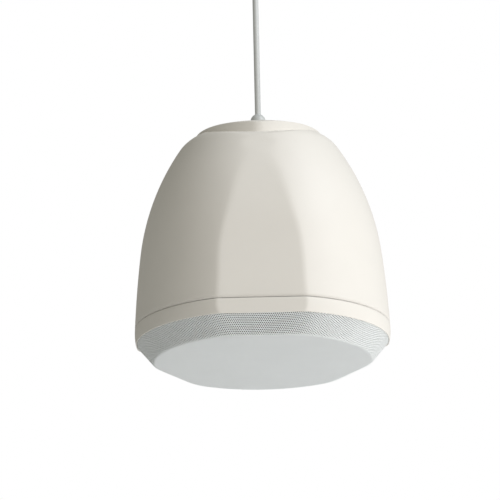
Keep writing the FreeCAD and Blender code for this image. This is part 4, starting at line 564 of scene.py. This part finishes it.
lining_angles = np.linspace(0.0, 2.0 * math.pi, CLOTH_COLUMNS + 1)[:-1]
lined = section_z <= GRILLE_SHOULDER_Z + CLOTH_OVERLAP
lining_reach = section_at(lining_angles)[0].T[lined]
face_rows = CLOTH_FACE_SHARES[:, None] * lining_reach[:1]
lining_reach = np.concatenate([face_rows, lining_reach])
lining_height = np.concatenate([np.full(len(face_rows), section_z[0]), section_z[lined]])
lining_form = np.stack([lining_reach * np.cos(lining_angles), lining_reach * np.sin(lining_angles),
                        lining_height[:, None] + 0.0 * lining_reach], axis=2)
skins = [inner_skin(lining_form, GRILLE_T + CLOTH_GAP + depth) for depth in (0.0, CLOTH_T)]
middles = [np.zeros((1, len(lining_angles), 3)) + [0.0, 0.0, skin[0, 0, 2]] for skin in skins]
lining_points = np.concatenate([middles[0], skins[0], skins[1][::-1], middles[1]])
lining = make_piece("grille_cloth", lining_points, grid_quads(*lining_points.shape[:2], wrap_columns=True),
                    HOUSING, ["grille_scrim"])
close_seams(lining)

# %% [markdown]
# ## The cable
# The cable carries the speaker, so it hangs as straight as a plumb line from its upper ferrule in the
# ceiling cup down to the one under the suspension plate. Its length is that of the frame's own piece.

# %% Cable
cable_low, cable_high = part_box("cable")
CABLE_D = 7.0 * MM
CABLE_POINTS = 5
cable_middle_x = (cable_low.x + cable_high.x) / 2.0
route = [Vector((cable_middle_x, 0.0, z)) for z in np.linspace(cable_low.z, cable_high.z, CABLE_POINTS)]
line = bpy.data.curves.new("cable_jacket", "CURVE")
line.dimensions = "3D"
spline = line.splines.new("NURBS")
spline.points.add(len(route) - 1)
for point, place in zip(spline.points, route):
    point.co = (*place, 1.0)
    point.radius = CABLE_D / 2.0
spline.order_u = 3
spline.use_endpoint_u = True
line.bevel_depth = 1.0
line.bevel_resolution = 8
line.use_fill_caps = True
cable = bpy.data.objects.new("cable_jacket", line)
bpy.context.scene.collection.objects.link(cable)
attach(cable, HOUSING)
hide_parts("cable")
print("cable:", round((cable_high.z - cable_low.z) / MM, 1), "mm long")

# %% [markdown]
# ## Colours and nodes
# A colour is written as it looks on a screen, in hex, and one function turns it into linear light:
# c / 12.92 below 0.04045 and ((c + 0.055) / 1.055) to the power 2.4 above. Another helper adds a
# shader node with its settings and links. Patterns read Object coordinates, which here are metres
# in the row frame, so a third one turns a pattern's size in millimetres into its scale.

# %% Colour and node helpers
def linear(hex_colour):
    """Linear RGBA from an sRGB hex colour."""
    value = np.array([int(hex_colour[k:k + 2], 16) for k in (1, 3, 5)]) / 255.0
    value = np.where(value <= 0.04045, value / 12.92, ((value + 0.055) / 1.055) ** 2.4)
    return (*value.tolist(), 1.0)


def add(owner, kind, links=(), **settings):
    """A shader node in a material or world, with values on its sockets or properties, and links from
    earlier nodes."""
    made = owner.node_tree.nodes.new(kind)
    for name, value in settings.items():
        if hasattr(made, name):
            setattr(made, name, value)
        else:
            made.inputs[name.replace("_", " ")].default_value = value
    for source, socket in links:
        owner.node_tree.links.new(source, made.inputs[socket])
    return made


def new_finish(name):
    """An empty node material with its principled shader and the place on the object."""
    material = bpy.data.materials.new(name)
    material.use_nodes = True
    shader = material.node_tree.nodes["Principled BSDF"]
    place = add(material, "ShaderNodeTexCoord").outputs["Object"]
    return material, shader, place


def per_mm(size_mm):
    """Texture scale for a pattern of that size, on coordinates in metres."""
    return 1.0 / (size_mm * MM)

# %% [markdown]
# ## Moulded ABS and powder coat
# The housing is moulded ABS with a fine spark-eroded texture: matt, a warm off-white, with a soft
# broad highlight. Its grain is about 0.3 mm, too fine for the picture, so it is drawn at 0.9 mm.
# The grille is steel with a powder coat that is nearly white by itself: holes and shade make it look
# light grey. It is a little cooler than the plastic and shows faint orange peel at about 2 mm.

# %% Outer finishes
CLOUD_DETAIL = 3.0
PLAIN_DETAIL = 2.0
ROUGH_DETAIL = 4.0
CLOUD_PER_GRAIN = 8.0


def tinted(material, shader, place, colour, shade, size_mm):
    """Very slight cloudiness: the colour mixed towards a second one by slow noise."""
    cloud = add(material, "ShaderNodeTexNoise", [(place, "Vector")], Scale=per_mm(size_mm),
                Detail=CLOUD_DETAIL)
    mix = add(material, "ShaderNodeMix", [(cloud.outputs["Fac"], 0)], data_type="RGBA")
    mix.inputs[6].default_value, mix.inputs[7].default_value = linear(colour), linear(shade)
    material.node_tree.links.new(mix.outputs[2], shader.inputs["Base Color"])


def grained(material, shader, place, size_mm, height_mm, detail=PLAIN_DETAIL):
    """Fine relief from noise of that size, as a bump of that height."""
    grain = add(material, "ShaderNodeTexNoise", [(place, "Vector")], Scale=per_mm(size_mm), Detail=detail)
    relief = add(material, "ShaderNodeBump", [(grain.outputs["Fac"], "Height")], Strength=1.0,
                 Distance=height_mm * MM)
    material.node_tree.links.new(relief.outputs["Normal"], shader.inputs["Normal"])


def moulded_abs():
    """Housing plastic: matt warm off-white with a fine texture."""
    material, shader, place = new_finish("moulded_abs")
    tinted(material, shader, place, "#EAE7E0", "#E6E3DC", size_mm=40.0)
    grained(material, shader, place, size_mm=0.9, height_mm=0.02)
    shader.inputs["Roughness"].default_value = 0.55
    shader.inputs["IOR"].default_value = 1.53
    return material


def powder_coat():
    """Grille steel: nearly white powder coat over a smooth sheet."""
    material, shader, place = new_finish("powder_coat")
    tinted(material, shader, place, "#F1F5F5", "#EDF1F1", size_mm=30.0)
    grained(material, shader, place, size_mm=2.0, height_mm=0.01)
    shader.inputs["Roughness"].default_value = 0.45
    shader.inputs["IOR"].default_value = 1.5
    return material


def satin_nylon():
    """Gland and cord grip: light grey polyamide, slightly glossier than the housing."""
    material, shader, place = new_finish("satin_nylon")
    tinted(material, shader, place, "#C8CBCA", "#C2C6C5", size_mm=6.0)
    grained(material, shader, place, size_mm=0.8, height_mm=0.008)
    shader.inputs["Roughness"].default_value = 0.38
    shader.inputs["IOR"].default_value = 1.53
    return material


def pvc_jacket():
    """Cable jacket: greyish white PVC with a soft gloss."""
    material, shader, place = new_finish("pvc_jacket")
    tinted(material, shader, place, "#CFD2D1", "#C9CCCC", size_mm=12.0)
    grained(material, shader, place, size_mm=1.5, height_mm=0.01)
    shader.inputs["Roughness"].default_value = 0.34
    shader.inputs["IOR"].default_value = 1.54
    return material

# %% [markdown]
# ## What is inside
# The inner pieces are seen only when the speaker is opened, but each still has its own finish. They
# differ in colour, gloss, metal and grain, so they share one recipe and a short table: for each slot
# a name, two colours, roughness, metalness, and the grain's size and relief in millimetres.

# %% Inner finishes
INNER_FINISHES = {
    "black_plastic": ("moulded_black_abs", "#1C1C1D", "#242425", 0.5, 0.0, 0.8, 0.02),
    "gasket_foam": ("closed_cell_foam", "#1B1B1C", "#2A2A2B", 0.9, 0.0, 0.5, 0.12),
    "scrim_cloth": ("acoustic_cloth", "#161617", "#2B2B2C", 0.95, 0.0, 0.45, 0.15),
    "wadding": ("polyester_wadding", "#E4E3DE", "#C9C8C2", 0.95, 0.0, 1.5, 0.9),
    "zinc_steel": ("zinc_plated_steel", "#B9BCBF", "#A4A7AA", 0.34, 1.0, 0.6, 0.01),
    "black_steel": ("electrocoated_steel", "#1D1D1F", "#28282A", 0.42, 0.0, 1.2, 0.01),
    "ferrite": ("sintered_ferrite", "#3A3A3D", "#47474A", 0.7, 0.0, 0.7, 0.05),
    "cone_pulp": ("coated_pulp", "#222224", "#303032", 0.8, 0.0, 0.6, 0.06),
    "black_rubber": ("butyl_rubber", "#19191A", "#202021", 0.62, 0.0, 1.0, 0.01),
    "spider_cloth": ("resin_cotton", "#B08A4E", "#9A7539", 0.85, 0.0, 0.5, 0.1),
    "copper_wire": ("enamelled_copper", "#C06A3A", "#9C4E27", 0.3, 1.0, 0.35, 0.08),
    "dome_silk": ("coated_silk", "#2A2A2D", "#38383B", 0.55, 0.0, 0.3, 0.03),
    "circuit_board": ("glass_epoxy", "#1F5A34", "#184A2A", 0.3, 0.0, 0.8, 0.02),
    "film_capacitor": ("dipped_film", "#B5401F", "#A33618", 0.35, 0.0, 2.5, 0.05),
    "cement": ("cast_cement", "#DAD6CB", "#C8C3B6", 0.8, 0.0, 0.5, 0.05),
    "lamination": ("varnished_laminations", "#5B5A5C", "#47464A", 0.45, 0.6, 0.5, 0.04),
    "winding_tape": ("polyester_tape", "#D9B93C", "#CCA92E", 0.25, 0.0, 4.0, 0.05),
    "crimp_metal": ("crimped_aluminium", "#C9CBCD", "#B4B6B9", 0.3, 1.0, 0.7, 0.03),
    "lead_jacket": ("pvc_lead", "#8E1D1A", "#7C1613", 0.4, 0.0, 1.0, 0.01),
}


def inner_finish(name, colour, shade, roughness, metallic, grain_mm, relief_mm):
    """A finish from two close colours, a gloss, a metalness and a grain with its relief."""
    material, shader, place = new_finish(name)
    tinted(material, shader, place, colour, shade, grain_mm * CLOUD_PER_GRAIN)
    grained(material, shader, place, grain_mm, relief_mm, detail=ROUGH_DETAIL)
    shader.inputs["Roughness"].default_value = roughness
    shader.inputs["Metallic"].default_value = metallic
    return material


finishes = {"shell_plastic": moulded_abs(), "grille_paint": powder_coat(),
            "gland_nylon": satin_nylon(), "cable_jacket": pvc_jacket()}
finishes.update({slot: inner_finish(*values) for slot, values in INNER_FINISHES.items()})

for part in frame["record"]["subparts"]:
    mesh = frame["nodes"][part["node"]].data
    mesh.materials.clear()
    mesh.materials.append(finishes[part["material_slot"]])
dressed = [(sector, "grille_paint") for sector in grille_sectors]
dressed += [(enclosure, "shell_plastic"), (bezel, "shell_plastic"), (lining, "scrim_cloth"),
            (cable, "cable_jacket")]
for piece, slot in dressed:
    piece.data.materials.clear()
    piece.data.materials.append(finishes[slot])
print("finishes:", len(finishes))

# %% [markdown]
# ## Camera
# The picture was taken from below with a long lens, looking up by 14.8 degrees and tilted by 1.3. A
# parallel view fits it best: 500 pixels across are 598 mm. We build the three camera directions
# from the two angles and then set the camera so that the seam's middle lands on its pixel.

# %% Camera
LOOK_UP = math.radians(14.8)
ROLL = math.radians(1.26)
PICTURE = 500
PIXEL = 1.196 * MM
SEAM_PIXEL = (262.57, 327.0)
CAMERA_DISTANCE = 2.4

ahead = Vector((0.0, math.cos(LOOK_UP), math.sin(LOOK_UP)))
level_up = Vector((0.0, -math.sin(LOOK_UP), math.cos(LOOK_UP)))
right = Vector((1.0, 0.0, 0.0)) * math.cos(ROLL) - level_up * math.sin(ROLL)
up = Vector((1.0, 0.0, 0.0)) * math.sin(ROLL) + level_up * math.cos(ROLL)
lens = bpy.data.cameras.new("camera")
lens.type = "ORTHO"
lens.ortho_scale = PICTURE * PIXEL
camera = bpy.data.objects.new("camera", lens)
bpy.context.scene.collection.objects.link(camera)
seam_middle = Vector((0.0, 0.0, SEAM_Z * MM))
seam_right, seam_down = ((pixel - PICTURE / 2) * PIXEL for pixel in SEAM_PIXEL)
aim = seam_middle - right * seam_right + up * seam_down
turned = Matrix((right, up, -ahead)).transposed().to_4x4()
camera.matrix_world = Matrix.Translation(aim - ahead * CAMERA_DISTANCE) @ turned
bpy.context.scene.camera = camera

# %% [markdown]
# ## Light, floor and backdrop
# One large soft lamp stands high on the right and gives the long fall of light from the bright right
# side to the grey left one. A second one in front on the right opens the front facet, one below fills
# the grille, and the surroundings are a dim warm white. Their strengths were found by rendering each
# lamp alone and mixing the pictures until they matched. What the camera sees behind the object is
# plain white, by the light path and not by more light.

# %% Light and stage
BODY_MIDDLE = Vector((0.0, 0.0, -0.38))
FLOOR_Z = -1.6
FLOOR_REACH = 4.0


def soft_lamp(name, place, size, power, colour):
    """A square area lamp that looks at the body's middle: size in metres, power in watts."""
    lamp = bpy.data.lights.new(name, "AREA")
    lamp.size, lamp.energy, lamp.color = size, power, linear(colour)[:3]
    holder = bpy.data.objects.new(name, lamp)
    holder.location = place
    holder.rotation_euler = (BODY_MIDDLE - Vector(place)).to_track_quat("-Z", "Y").to_euler()
    bpy.context.scene.collection.objects.link(holder)


soft_lamp("key_lamp", place=(1.8, -0.8, 1.3), size=1.4, power=40.0, colour="#F4F8FF")
soft_lamp("front_lamp", place=(1.3, -2.2, -0.2), size=1.6, power=20.0, colour="#FFFAF6")
soft_lamp("low_lamp", place=(0.5, 0.1, -1.5), size=1.6, power=15.5, colour="#FFFDFF")

floor_mesh = bpy.data.meshes.new("floor")
floor_corners = [(FLOOR_REACH * x, FLOOR_REACH * y, FLOOR_Z)
                 for x, y in ((-1, -1), (1, -1), (1, 1), (-1, 1))]
floor_mesh.from_pydata(floor_corners, [], [(0, 1, 2, 3)])
floor = bpy.data.objects.new("floor", floor_mesh)
bpy.context.scene.collection.objects.link(floor)
floor_finish, floor_shader, floor_place = new_finish("pale_floor")
tinted(floor_finish, floor_shader, floor_place, "#EDEDED", "#EAEAEA", size_mm=300.0)
floor_shader.inputs["Roughness"].default_value = 0.8
floor_mesh.materials.append(floor_finish)

world = bpy.data.worlds.new("studio")
world.use_nodes = True
bpy.context.scene.world = world
around = world.node_tree.nodes["Background"]
around.inputs["Color"].default_value = linear("#FFFDF3")
around.inputs["Strength"].default_value = 0.32
seen = add(world, "ShaderNodeBackground", Color=(1.0, 1.0, 1.0, 1.0), Strength=1.0)
ray = add(world, "ShaderNodeLightPath")
either = add(world, "ShaderNodeMath", [(ray.outputs["Is Camera Ray"], 0),
                                       (ray.outputs["Is Transmission Ray"], 1)], operation="MAXIMUM")
choice = add(world, "ShaderNodeMixShader", [(either.outputs[0], "Fac"), (around.outputs["Background"], 1),
                                            (seen.outputs["Background"], 2)])
world.node_tree.links.new(choice.outputs["Shader"], world.node_tree.nodes["World Output"].inputs["Surface"])
bpy.context.scene.view_settings.view_transform = "Standard"
